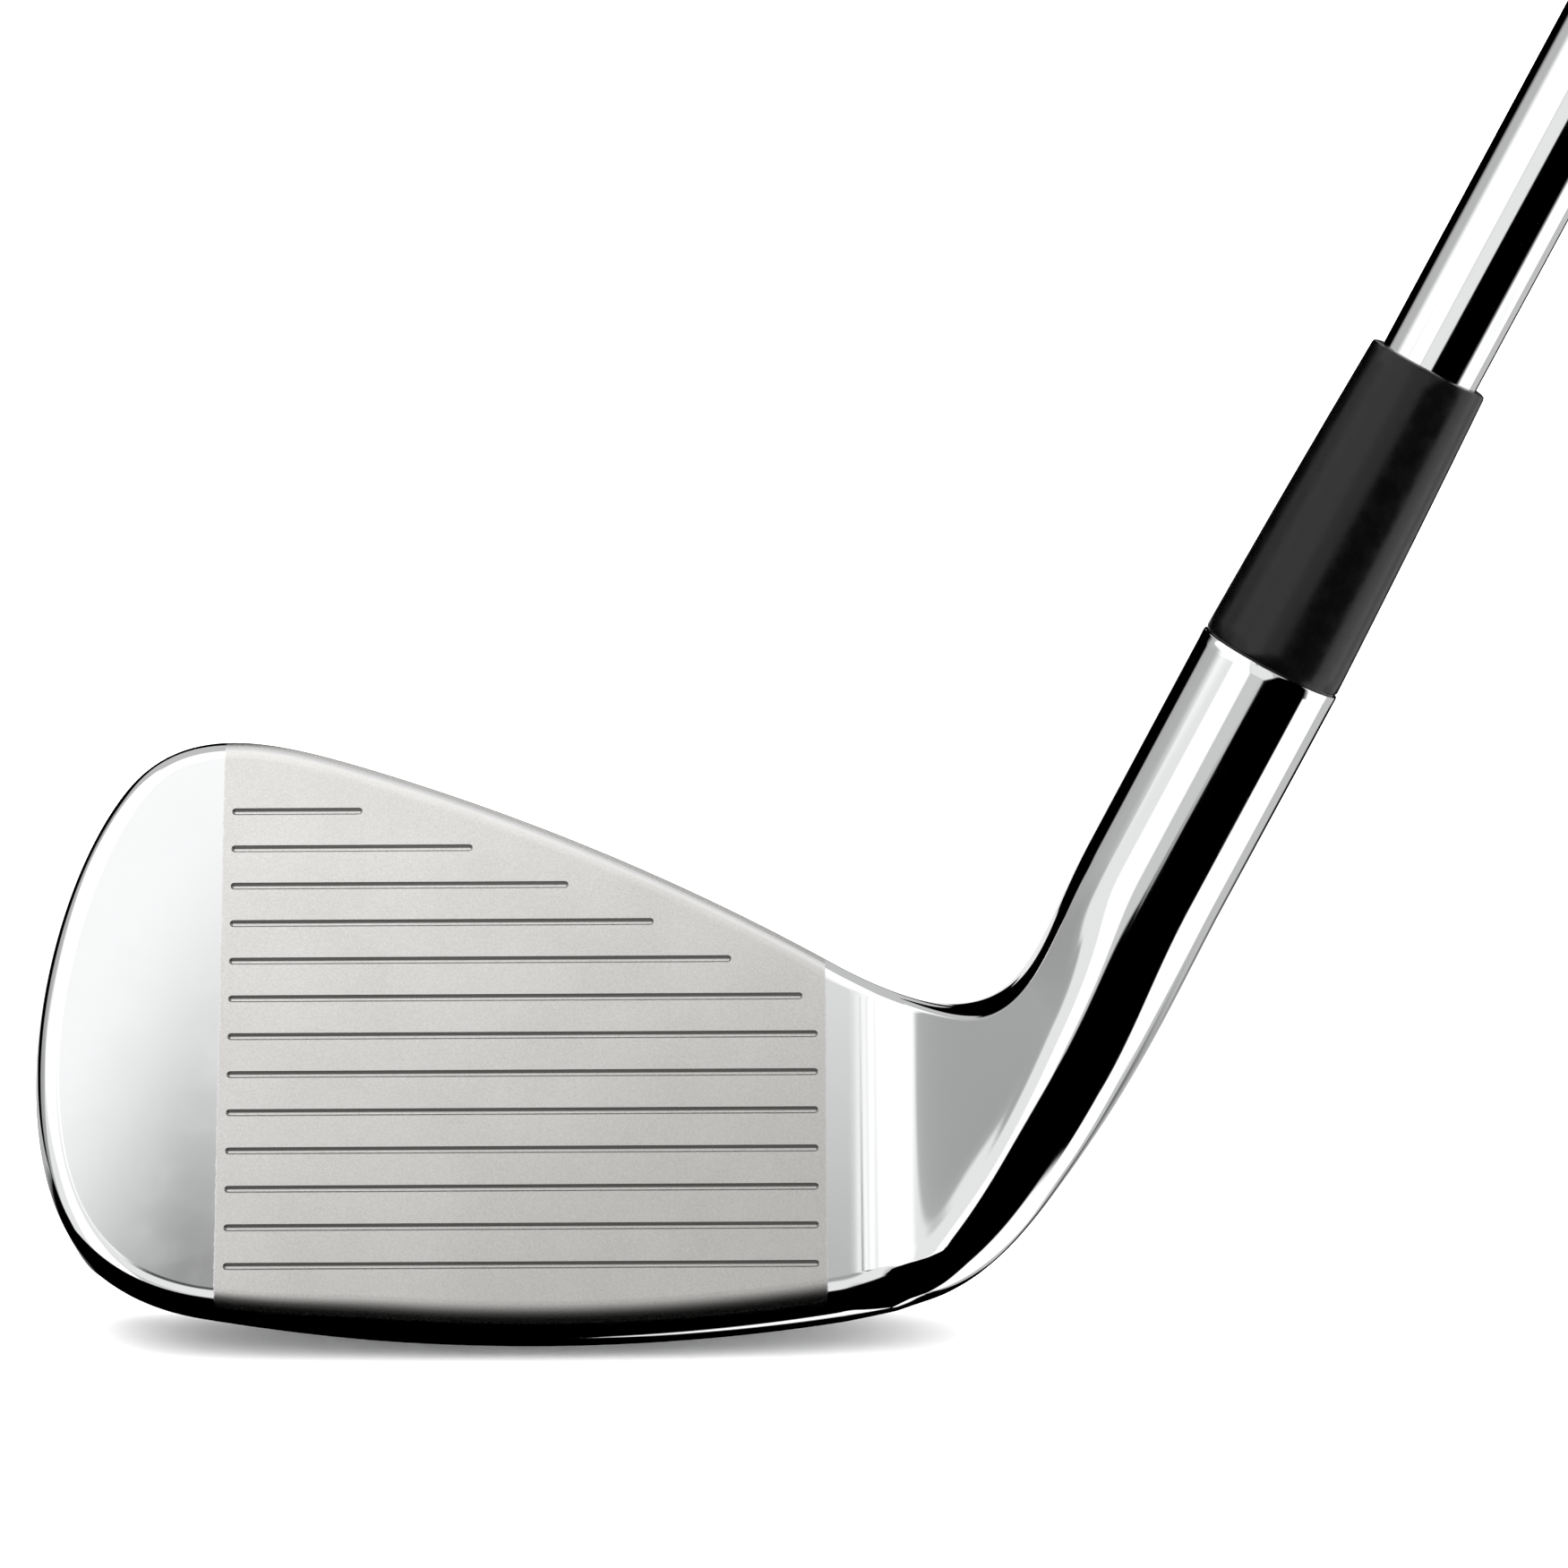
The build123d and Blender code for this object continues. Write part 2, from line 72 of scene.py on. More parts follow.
TIP_WALL, BUTT_WALL = 0.62, 0.33
TIP_STATION = 41.9
FIRST_STEP, STEP_PITCH, STEP_COUNT, STEP_SLOPE = 270.0, 25.4, 14, 1.6
PLATE_THICKNESS = 2.3
PLATE_INSET, PLATE_SOLE_INSET = 3.4, 4.2
SCREW_UP, SCREW_DEEP = 29.0, 4.6
# the port screw's stepped seat as (x, radius), from outside the toe inwards
SCREW_SEAT = [(-90.0, 2.5), (-77.4, 2.5), (-77.4, 1.9), (-69.3, 1.9)]

FACE_OUT = np.array([0, -cos(LOFT), sin(LOFT)])
FACE_UP = np.array([0, sin(LOFT), cos(LOFT)])
FACE_FOOT = np.array([0, FACE_FOOT_Y, 0])
SHAFT_LINE = np.array([cos(LIE), 0, sin(LIE)])
SHAFT_SIDE = np.array([-sin(LIE), 0, cos(LIE)])  # towards the crotch
BACK = np.array([0, 1.0, 0])


# ---------------------------------------------------------------- mesh helpers

FLAT_FACE = Vector(FACE_OUT)


def add_mesh(name, points, faces, material, node):
    """Smooth-shaded piece from points in millimetres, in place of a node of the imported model."""
    mesh = new_mesh(name, points, faces)
    clean(mesh)
    return add_piece(mesh, material, node)


def new_mesh(name, points, faces):
    mesh = bpy.data.meshes.new(name)
    mesh.from_pydata([tuple(0.001 * np.asarray(point)) for point in points], [], faces)
    return mesh


def add_piece(mesh, material, node):
    mesh.materials.append(material)
    piece = bpy.data.objects.new(mesh.name, mesh)
    scene.collection.objects.link(piece)
    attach(piece, "root")
    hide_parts(node)
    return piece


def clean(mesh, sharp_degrees=38):
    """Weld shared points, turn every face outwards and leave only real corners sharp."""
    bm = bmesh.new()
    bm.from_mesh(mesh)
    bmesh.ops.remove_doubles(bm, verts=bm.verts, dist=2e-6)
    bmesh.ops.dissolve_degenerate(bm, edges=bm.edges, dist=1e-6)
    bmesh.ops.recalc_face_normals(bm, faces=bm.faces)
    for face in bm.faces:
        face.smooth = face.normal.dot(FLAT_FACE) < cos(radians(0.4))
    for edge in bm.edges:
        edge.smooth = len(edge.link_faces) == 2 and edge.calc_face_angle(0) < radians(sharp_degrees)
    bm.to_mesh(mesh)
    bm.free()


def grid_faces(rows, columns, close_rows=False, skip=None):
    """Quads between neighbouring rings; columns always close, rows only if asked."""
    faces = []
    for i in range(rows if close_rows else rows - 1):
        for j in range(columns):
            if skip and skip(i, j):
                continue
            a, b = i * columns, (i + 1) % rows * columns
            k = (j + 1) % columns
            faces.append((a + j, b + j, b + k, a + k))
    return faces


def on_shaft(station, radius, angle):
    """Point at an angle round the shaft: 0 on the crotch side, 90 degrees at the back."""
    around = SHAFT_SIDE * cos(angle) + BACK * sin(angle)
    return SHAFT_LINE * station + around * radius


def turned(profile, segments, offset=None):
    """Closed solid of revolution about the shaft from a closed list of (station, radius).

    offset(station, angle) gives a relief that is added to the radius.
    """
    points = []
    for station, radius in profile:
        for k in range(segments):
            angle = tau * k / segments
            extra = offset(station, angle) if offset else 0.0
            points.append(on_shaft(station, radius + extra, angle))
    return points, grid_faces(len(profile), segments, close_rows=True)


def bezier(points, count):
    """Points along a cubic curve with two ends and two handles."""
    t = np.linspace(0, 1, count)[:, None]
    a, b, c, d = (np.array(p, float) for p in points)
    return (1 - t) ** 3 * a + 3 * t * (1 - t) ** 2 * b + 3 * t**2 * (1 - t) * c + t**3 * d


def evenly(curve, positions):
    """Points of a dense curve at shares of its length."""
    steps = np.linalg.norm(np.diff(curve, axis=0), axis=1)
    along = np.concatenate([[0], np.cumsum(steps)]) / steps.sum()
    return np.stack([np.interp(positions, along, curve[:, k]) for k in range(curve.shape[1])], 1)


def smooth(value):
    """Soft step from 0 to 1."""
    value = np.clip(value, 0, 1)
    return value * value * (3 - 2 * value)


# ---------------------------------------------------------------- head


def face_point(x, up, deep=0.0):
    """Point at a height up the face and a depth behind it."""
    return np.array([x, 0, 0]) + FACE_FOOT + FACE_UP * up - FACE_OUT * deep


def topline_up(x):
    """Height of the topline up the face."""
    return TOPLINE_CENTRE[1] + np.sqrt(TOPLINE_RADIUS**2 - (x - TOPLINE_CENTRE[0]) ** 2)


def top_outline():
    """Toe, crown and topline from the toe's tip to the heel: x and height up the face."""
    lean = (CROWN_X - TOPLINE_CENTRE[0]) / TOPLINE_RADIUS
    start = np.array([CROWN_X, topline_up(CROWN_X)])
    handle = start + np.array([-sqrt(1 - lean**2), lean]) * CROWN_HANDLE
    toe = bezier([(TOE_X, TOE_UP), (TOE_X, 38.5), (-77.1, 50.2), CROWN_SHOULDER], 200)
    crown = bezier([CROWN_SHOULDER, (-67.2, 63.4), handle, start], 200)
    x = np.linspace(CROWN_X, HEEL_X, 300)
    return np.concatenate([toe, crown[1:], np.stack([x, topline_up(x)], 1)[1:]])


def sole_lift(x, y):
    """Height of the sole above the ground."""
    camber = CAMBER_RADIUS - np.sqrt(CAMBER_RADIUS**2 - (y - SOLE_Y) ** 2)
    return ROCKER_RADIUS - np.sqrt((ROCKER_RADIUS - camber) ** 2 - (x - SOLE_X) ** 2)


def sole_corner_up(x):
    """Where the face plane and the sole would meet."""
    up = np.full_like(x, 4.0)
    for _ in range(8):
        up = sole_lift(x, FACE_FOOT_Y + up * sin(LOFT)) / cos(LOFT)
    return up


TOE_FOOT_X = -64.0
TOE_HANDLE_UP, TOE_FOOT_HANDLE = 13.6, 9.6


def bottom_outline():
    """Lower toe and leading edge from the toe's tip to the heel: x and height up the face."""
    x = np.linspace(TOE_FOOT_X, HEEL_X, 300)
    sole = np.stack([x, sole_corner_up(x)], 1)
    way = sole[0] - sole[1]
    way /= np.linalg.norm(way)
    handles = [(TOE_X, TOE_HANDLE_UP), tuple(sole[0] + way * TOE_FOOT_HANDLE)]
    toe = bezier([(TOE_X, TOE_UP), *handles, tuple(sole[0])], 300)
    return np.concatenate([toe[:-1], sole])


# Number of rings along the blade, and of points in each stretch of a ring.
BLADE_RINGS = 150
RING_FILLET, RING_WALL, RING_REAR_FILLET, RING_BACK, RING_EDGE, RING_PLATE = 18, 16, 6, 60, 4, 60
SOLE_ROLL, TOE_SOLE_ROLL = 3.4, 2.4
TOP_ROLL, TOE_TOP_ROLL = 2.1, 2.4
REAR_ROLL = 1.2


def ramp(value, softness=1.2):
    """Zero below 0 and the value itself above it, with a soft corner."""
    return (value + np.sqrt(value**2 + softness**2)) / 2


def back_depth(up):
    """Thickness behind the face plane: thin blade, a soft step, then the muscle."""
    return 6.6 + 0.308 * ramp(37.0 - up) + 0.317 * ramp(30.5 - up)


def slerp(a, b, count):
    """Directions that turn evenly from a to b."""
    angle = np.arccos(np.clip(a @ b, -1, 1))
    t = np.linspace(0, 1, count)[:, None]
    return (np.sin((1 - t) * angle) * a + np.sin(t * angle) * b) / sin(angle)


def rolled_edge(corner, inward, onward, radius, start_normal, count):
    """Round a corner with a ball: from the surface that leads inward to the one that leads onward."""
    angle = np.arccos(np.clip(inward @ onward, -1, 1))
    reach = radius / np.tan(angle / 2)
    first = corner + inward * reach
    centre = first - start_normal * radius
    end_normal = corner + onward * reach - centre
    return centre + radius * slerp(start_normal, end_normal / np.linalg.norm(end_normal), count)


def unit(vector):
    return vector / np.linalg.norm(vector)


def side_of_ring(x, up, tangent, outward, radius, lean, bend):
    """Rolled front edge, wall and rolled rear edge at one place of the outline.

    lean is the wall's downward angle where it leaves the face, bend its curvature going back.
    """
    corner = face_point(x, up)
    along = np.array([tangent[0], 0, 0]) + FACE_UP * tangent[1]
    inward = -(np.array([outward[0], 0, 0]) + FACE_UP * outward[1])
    wall_way = np.array([0, cos(lean), -sin(lean)])
    onward = unit(wall_way - along * (wall_way @ along))
    front = rolled_edge(corner, inward, onward, radius, FACE_OUT, RING_FILLET)

    def wall(distance):
        turn = lean - bend * distance
        if abs(bend) < 1e-6:
            return corner + wall_way * distance
        y = (np.sin(lean) - np.sin(turn)) / bend
        z = (np.cos(lean) - np.cos(turn)) / bend
        return corner + np.array([0, y, z])

    def overshoot(distance):
        point = wall(distance) - FACE_FOOT
        return -(point @ FACE_OUT) - back_depth(point @ FACE_UP)

    low, high = 2.0, 34.0
    for _ in range(30):
        middle = (low + high) / 2
        low, high = (middle, high) if overshoot(middle) < 0 else (low, middle)
    rear_corner = wall(low)
    rear_up = (rear_corner - FACE_FOOT) @ FACE_UP
    slope = (back_depth(rear_up + 0.1) - back_depth(rear_up - 0.1)) / 0.2
    rear_out = unit(-FACE_OUT - FACE_UP * slope)
    rear_in = unit(inward - rear_out * (inward @ rear_out))
    wall_end = wall(low - 0.4)
    back_along_wall = wall_end - rear_corner
    back_along_wall = unit(back_along_wall - along * (back_along_wall @ along))
    rear = rolled_edge(rear_corner, rear_in, back_along_wall, REAR_ROLL, rear_out, RING_REAR_FILLET)[::-1]
    start = np.linalg.norm(front[-1] - corner)
    stop = low - np.linalg.norm(rear[0] - rear_corner)
    walls = np.array([wall(d) for d in np.linspace(start, stop, RING_WALL)[1:-1]])
    # the rolled edges end beside the straight wall samples, so their small offset is shared out
    shift_first = front[-1] - wall(start)
    shift_last = rear[0] - wall(stop)
    share = np.linspace(0, 1, RING_WALL)[1:-1, None]
    walls = walls + shift_first * (1 - share) + shift_last * share
    return front, walls, rear


def outline_frames(curve):
    """Tangent and outward normal of an outline that runs from the toe to the heel."""
    tangent = np.gradient(curve, axis=0)
    tangent /= np.linalg.norm(tangent, axis=1)[:, None]
    return tangent, np.stack([-tangent[:, 1], tangent[:, 0]], 1)


def blade_rings():
    """Closed rings from the toe's tip to the heel, each starting at the foot of the flat face."""
    shares = np.linspace(0, 1, BLADE_RINGS)
    top_dense, bottom_dense = top_outline(), bottom_outline()
    top, bottom = evenly(top_dense, shares), evenly(bottom_dense, shares)
    top_way, top_out = outline_frames(top)
    bottom_way, bottom_out = outline_frames(bottom)
    bottom_out = -bottom_out
    tip_out = np.array([-1.0, 0.0])
    top_out[0] = bottom_out[0] = tip_out
    top_way[0] = bottom_way[0] = np.array([0.0, 1.0])
    rings, plate_edges = [], []
    for i in range(BLADE_RINGS):
        x, up = bottom[i]
        on_sole = smooth((x - TOE_X) / (TOE_FOOT_X - TOE_X)) if i else 0.0
        corner_y = FACE_FOOT_Y + up * sin(LOFT)
        lean = LOFT + (asin((SOLE_Y - corner_y) / CAMBER_RADIUS) - LOFT) * on_sole
        roll = TOE_SOLE_ROLL + (SOLE_ROLL - TOE_SOLE_ROLL) * smooth((x + 66) / 20)
        low = side_of_ring(x, up, bottom_way[i], bottom_out[i], roll, lean, on_sole / CAMBER_RADIUS)
        x, up = top[i]
        roll = TOE_TOP_ROLL + (TOP_ROLL - TOE_TOP_ROLL) * smooth((x + 76) / 20)
        high = side_of_ring(x, up, top_way[i], top_out[i], roll, LOFT, 0.0)
        low_inset = PLATE_INSET + (PLATE_SOLE_INSET - PLATE_INSET) * smooth((bottom[i][0] + 76) / 10)
        plate_low = face_point(*(bottom[i] - bottom_out[i] * low_inset))
        plate_high = face_point(*(top[i] - top_out[i] * PLATE_INSET))
        rings.append(joined_ring(low, high, plate_low, plate_high))
        plate_edges.append((plate_low, plate_high))
    return np.array(rings), np.array(plate_edges)


def between(a, b, count):
    """count points from a towards b, a included and b left out."""
    return a + (b - a) * (np.arange(count) / count)[:, None]


def joined_ring(low, high, plate_low, plate_high):
    """One closed ring: up the face, over the top edge, down the back and round the sole's edge."""
    low_front, low_wall, low_rear = low
    high_front, high_wall, high_rear = high
    ends = [np.array([end[0], (end - FACE_FOOT) @ FACE_UP]) for end in (high_rear[-1], low_rear[-1])]
    back = np.array([face_point(x, up, back_depth(up)) for x, up in between(*ends, RING_BACK)])[1:]
    return np.concatenate(
        [
            between(low_front[0], plate_low, RING_EDGE),
            between(plate_low, plate_high, RING_PLATE),
            between(plate_high, high_front[0], RING_EDGE),
            *(high_front, high_wall, high_rear, back),
            *(low_rear[::-1], low_wall[::-1], low_front[::-1][:-1]),
        ]
    )


# Angles round the hosel that each stretch of a ring turns into, in degrees: 0 crotch, 90 back, 180 heel.
RING_TURNS = [
    (2 * RING_EDGE + RING_PLATE, 262, 335),
    (RING_FILLET, 335, 350),
    (RING_WALL - 2, 350, 380),
    (RING_REAR_FILLET, 380, 398),
    (RING_BACK - 1, 398, 484),
    (RING_REAR_FILLET, 484, 503),
    (RING_WALL - 2, 503, 585),
    (RING_FILLET - 1, 585, 622),
]
RING_ANGLES = np.radians(
    np.concatenate([np.linspace(a, b, count, endpoint=False) for count, a, b in RING_TURNS])
)

# The neck's rings fan out from a line above the crotch.
FAN_X = -4.0
FAN_Z = (NECK_TOP - FAN_X * SHAFT_LINE[0]) / SHAFT_LINE[2]
NECK_REACH = float(np.linalg.norm(SHAFT_LINE * NECK_TOP - np.array([FAN_X, 0, FAN_Z])))
# Turn about that line in degrees, distances from it to the crotch and heel sides, roundness.
NECK_SECTIONS = [
    (12, 28.0, 53.3, 0.12),
    (24, 29.3, 47.2, 0.42),
    (36, 27.5, 42.2, 0.76),
    (49, 25.0, 38.9, 0.95),
    (degrees(LIE), NECK_REACH - HOSEL_RADIUS, NECK_REACH + HOSEL_RADIUS, 1.0),
]


def neck_keys(heel_ring):
    """Sections of the neck, from the blade's end ring to a round one."""
    heights = FAN_Z - heel_ring[:, 2]
    blade_share = (heights - heights.min()) / (heights.max() - heights.min())
    round_share = (1 - np.cos(RING_ANGLES)) / 2
    keys = []
    for turn, near, far, roundness in NECK_SECTIONS:
        share = blade_share + (round_share - blade_share) * roundness
        side = heel_ring[:, 1] + (HOSEL_RADIUS * np.sin(RING_ANGLES) - heel_ring[:, 1]) * roundness
        reach = near + (far - near) * share
        down = np.array([sin(radians(turn)), 0, -cos(radians(turn))])
        keys.append(np.array([FAN_X, 0, FAN_Z]) + reach[:, None] * down + side[:, None] * BACK)
    return keys


def round_ring(station, radius):
    return np.array([on_shaft(station, radius, angle) for angle in RING_ANGLES])


def natural_spline(knots, values, wanted):
    """Natural cubic spline through values at knots, for every ring point at once."""
    count = len(knots)
    gaps = np.diff(knots)
    system = np.eye(count)
    right = np.zeros((count,) + values.shape[1:])
    for i in range(1, count - 1):
        system[i, i - 1 : i + 2] = gaps[i - 1], 2 * (gaps[i - 1] + gaps[i]), gaps[i]
        right[i] = 6 * ((values[i + 1] - values[i]) / gaps[i] - (values[i] - values[i - 1]) / gaps[i - 1])
    bends = np.linalg.solve(system, right.reshape(count, -1)).reshape(right.shape)
    result = []
    for t in wanted:
        i = int(np.clip(np.searchsorted(knots, t) - 1, 0, count - 2))
        gap, a, b = gaps[i], knots[i + 1] - t, t - knots[i]
        result.append(
            (bends[i] * a**3 + bends[i + 1] * b**3) / (6 * gap)
            + (values[i] / gap - bends[i] * gap / 6) * a
            + (values[i + 1] / gap - bends[i + 1] * gap / 6) * b
        )
    return np.array(result)


NECK_RINGS = 220
FRONT_COLUMNS = 2 * RING_EDGE + RING_PLATE + 1
# The hollow that turns the face forward to the hosel, and the slanted facet that follows it.
FACET_SOFTNESS, FACET_TURN = 5.4, radians(51)
FACET_BLEND = 1.2
# The crest's share of the way from the crotch to the heel side: at the hosel, and its drift per degree
# of turn below CREST_DRIFT_TURN.
CREST_SHARE, CREST_DRIFT, CREST_DRIFT_TURN, CREST_LAST_SHARE = 0.46, 0.0178, 30.0, 0.93
# The crest's face side is a circle up to a turn and a slope from there; its heel side falls back by a depth.
CREST_TURN, CREST_SLOPE = radians(36), 0.55
CREST_DEPTH, CREST_ROUND_SHARE = 5.5, 0.98
# Low down the crest leans back by so much per millimetre of height.
CREST_LEAN, CREST_LEAN_TOP = 0.19, 25.0


def facet_table():
    """Samples of how far the hollow and the facet stand forward of the face plane."""
    x = np.linspace(HEEL_X, 40, 900)
    way = (x - HEEL_X) / FACET_SOFTNESS
    slope = np.tan(FACET_TURN * (1 - np.exp(-(way**2.4))))
    rise = np.concatenate([[0], np.cumsum((slope[1:] + slope[:-1]) / 2 * np.diff(x))])
    return x, rise


def crest_rise(beside, radius):
    """How far the neck's round front falls back on the face's side of its crest."""
    reach = radius * sin(CREST_TURN)
    inner = np.minimum(beside, reach)
    return radius - np.sqrt(radius**2 - inner**2) + CREST_SLOPE * np.maximum(beside - reach, 0)


def neck_crest(x, z):
    """Front of the neck as a round crest that runs down from the hosel into the heel.

    Returns its y, the part of it that belongs to the crest's heel side, and how far it is hosel by now.
    """
    across, down = x - FAN_X, FAN_Z - z
    turn, reach = np.degrees(np.arctan2(across, down)), np.hypot(across, down)
    near, far = reach.min(axis=1, keepdims=True), reach.max(axis=1, keepdims=True)
    drift = CREST_DRIFT * ramp(CREST_DRIFT_TURN - turn, 6.0)
    crest_share = np.minimum(CREST_SHARE + drift, CREST_LAST_SHARE)
    beside = (crest_share - (reach - near) / (far - near)) * (far - near)
    face_side = crest_rise(np.maximum(beside, 0), HOSEL_RADIUS - 0.02 * (degrees(LIE) - turn))
    heel_share = np.clip(-beside / ((1 - crest_share) * (far - near)), 0, CREST_ROUND_SHARE)
    heel_side = CREST_DEPTH * (1 - np.sqrt(1 - heel_share**2))
    lean = CREST_LEAN * ramp(CREST_LEAN_TOP - z, 6.0) * smooth(z / 8) * smooth((x - HEEL_X) / 7)
    return lean + face_side + heel_side - HOSEL_RADIUS, heel_side, smooth((turn - 34) / 26)


def shape_neck_front(rings):
    """Give the neck's front the facet, which stops where it meets the round crest."""
    x, z = rings[..., 0], rings[..., 2]
    side, wall, roll = RING_FILLET + RING_WALL - 2, RING_WALL - 2, RING_FILLET - 1
    crest_y, heel_side, to_hosel = neck_crest(x, z)
    # at its foot the crest stays in front, so that the facet starts as the flat of the face
    crest_y[:, :-roll] -= 12.0 * (1 - smooth((x[:, :-roll] - HEEL_X) / 6))
    round_y = HOSEL_RADIUS * np.sin(RING_ANGLES)
    tube_y = crest_y + (round_y - crest_y) * to_hosel
    gap = FACE_FOOT_Y + z * tan(LOFT) - np.interp(x, *facet_table()) - tube_y
    softness = FACET_BLEND * smooth((x - HEEL_X) / 6)
    filled = (gap + np.sqrt(gap**2 + softness**2)) / 2
    front_y = tube_y + filled * (1 - to_hosel)
    roll_y = front_y[:, :1] + heel_side[:, -roll:] - heel_side[:, :1]
    front_y[:, -roll:] = roll_y + (round_y[-roll:] - roll_y) * to_hosel[:, -roll:]
    move = front_y - rings[..., 1]
    fade = 1 - smooth(np.arange(1, side + 1) / (side + 1))
    wall_fade = 1 - smooth(np.arange(1, wall + 1) / (wall + 1))
    # below the front the crest's round side takes the place of the blade's rolled edge
    rounded = smooth((x[:, -roll:] - HEEL_X) / 7)
    roll_move = move[:, -roll:] * rounded + move[:, :1] * fade[:roll][::-1] * (1 - rounded)
    shaped = rings.copy()
    last = FRONT_COLUMNS - 1
    shaped[:, :FRONT_COLUMNS, 1] += move[:, :FRONT_COLUMNS]
    shaped[:, FRONT_COLUMNS : FRONT_COLUMNS + side, 1] += move[:, last : last + 1] * fade
    shaped[:, -roll:, 1] += roll_move
    shaped[:, -roll - wall : -roll, 1] += roll_move[:, :1] * wall_fade[::-1]
    return shaped


def neck_rings(rings):
    """Rings from the blade's end through the neck to the round hosel."""
    lead_in = [rings[-17], rings[-9], rings[-1]]
    lead_out = [round_ring(NECK_TOP + d, HOSEL_RADIUS) for d in (4, 8)]
    keys = np.array(lead_in + neck_keys(rings[-1]) + lead_out)
    gaps = np.linalg.norm(np.diff(keys, axis=0), axis=2).mean(1)
    knots = np.concatenate([[0], np.cumsum(gaps)])
    first, last = knots[2], knots[-3]
    wanted = np.linspace(first, last, NECK_RINGS + 1)[1:]
    return shape_neck_front(natural_spline(knots, keys, wanted))


HOSEL_CHAMFER = 0.18


def make_head(material):
    """Blade, neck and hosel as one skin, with a pocket for the face plate and a bore for the shaft."""
    blade, plate_edges = blade_rings()
    neck = neck_rings(blade)
    hosel = [round_ring(s, HOSEL_RADIUS) for s in np.linspace(NECK_TOP, HOSEL_TOP - HOSEL_CHAMFER, 26)[1:]]
    hosel.append(round_ring(HOSEL_TOP - 0.05, HOSEL_RADIUS - 0.05))
    hosel.append(round_ring(HOSEL_TOP, HOSEL_RADIUS - HOSEL_CHAMFER))
    bore = [round_ring(HOSEL_TOP, BORE_RADIUS), round_ring(BORE_BOTTOM, BORE_RADIUS)]
    rings = np.concatenate([blade, neck, np.array(hosel), np.array(bore)])
    count, columns = rings.shape[:2]
    points = list(rings.reshape(-1, 3))
    plate_from, plate_to = RING_EDGE, RING_EDGE + RING_PLATE

    def in_pocket(i, j):
        return i < BLADE_RINGS - 1 and plate_from <= j < plate_to

    faces = grid_faces(count, columns, skip=in_pocket)
    faces.append(tuple((count - 1) * columns + j for j in range(columns)))
    add_pocket(points, faces, plate_edges, blade[-1][plate_from : plate_to + 1])
    head = add_mesh("Head", points, faces, material, "head_body")
    cut_screw_seat(head)
    return plate_edges, blade


def cut_screw_seat(head):
    """Bore the stepped seat of the port screw into the toe."""
    _, y, z = face_point(0, SCREW_UP, SCREW_DEEP)
    segments = 64
    angles = np.arange(segments) * tau / segments
    points = [(x, y + radius * cos(a), z + radius * sin(a)) for x, radius in SCREW_SEAT for a in angles]
    faces = grid_faces(len(SCREW_SEAT), segments)
    faces += [tuple(range(segments)), tuple(range(len(points) - segments, len(points)))]
    mesh = new_mesh("Seat", points, faces)
    clean(mesh)
    cutter = bpy.data.objects.new("Seat", mesh)
    scene.collection.objects.link(cutter)
    cut = head.modifiers.new("Seat", "BOOLEAN")
    cut.operation = "DIFFERENCE"
    cut.solver = "EXACT"
    cut.object = cutter
    bored = bpy.data.meshes.new_from_object(head.evaluated_get(bpy.context.evaluated_depsgraph_get()))
    head.modifiers.clear()
    head.data = bored
    bpy.data.objects.remove(cutter)
    clean(bored)


def plate_rim(plate_edges, heel_edge):
    """Outline of the face plate: along the top, down the heel end and back along the sole."""
    return list(plate_edges[:, 1]) + list(heel_edge[::-1][1:-1]) + list(plate_edges[::-1, 0][:-1])


def add_pocket(points, faces, plate_edges, heel_edge):
    """Walls and floor of the recess that holds the face plate."""
    deep = -FACE_OUT * PLATE_THICKNESS
    rim = plate_rim(plate_edges, heel_edge)
    base = len(points)
    points.extend(rim)
    points.extend([p + deep for p in rim])
    n = len(rim)
    for k in range(n):
        faces.append((base + k, base + (k + 1) % n, base + n + (k + 1) % n, base + n + k))
    faces.append(tuple(base + n + k for k in range(n)))


# ---------------------------------------------------------------- face plate

GROOVE_COUNT, GROOVE_PITCH, LOWEST_GROOVE_UP = 13, 3.66, 10.0
GROOVE_TOE_X, GROOVE_HEEL_X, GROOVE_TOPLINE_GAP = -62.1, -7.2, 4.65
# Half-width and depth of a scoreline, from its rounded lip to its floor.
GROOVE_PROFILE = [(0.34, 0.0), (0.325, 0.01), (0.31, 0.04), (0.14, 0.34), (0.11, 0.37), (0.05, 0.38)]


def groove_ring(toe, heel, up, half_width, deep):
    """Slot with round ends, seen square to the face."""
    points = []
    for k in range(9):
        angle = pi / 2 - pi * k / 8
        points.append(face_point(heel + half_width * cos(angle), up + half_width * sin(angle), deep))
    for k in range(9):
        angle = -pi / 2 - pi * k / 8
        points.append(face_point(toe + half_width * cos(angle), up + half_width * sin(angle), deep))
    return points


def groove_ends(up):
    """Centres of a scoreline's round ends; the upper ones stop short of the topline."""
    gap_radius = TOPLINE_RADIUS - GROOVE_TOPLINE_GAP
    heel = TOPLINE_CENTRE[0] + sqrt(gap_radius**2 - (up - TOPLINE_CENTRE[1]) ** 2)
    half = GROOVE_PROFILE[0][0]
    return GROOVE_TOE_X + half, min(GROOVE_HEEL_X, heel) - half


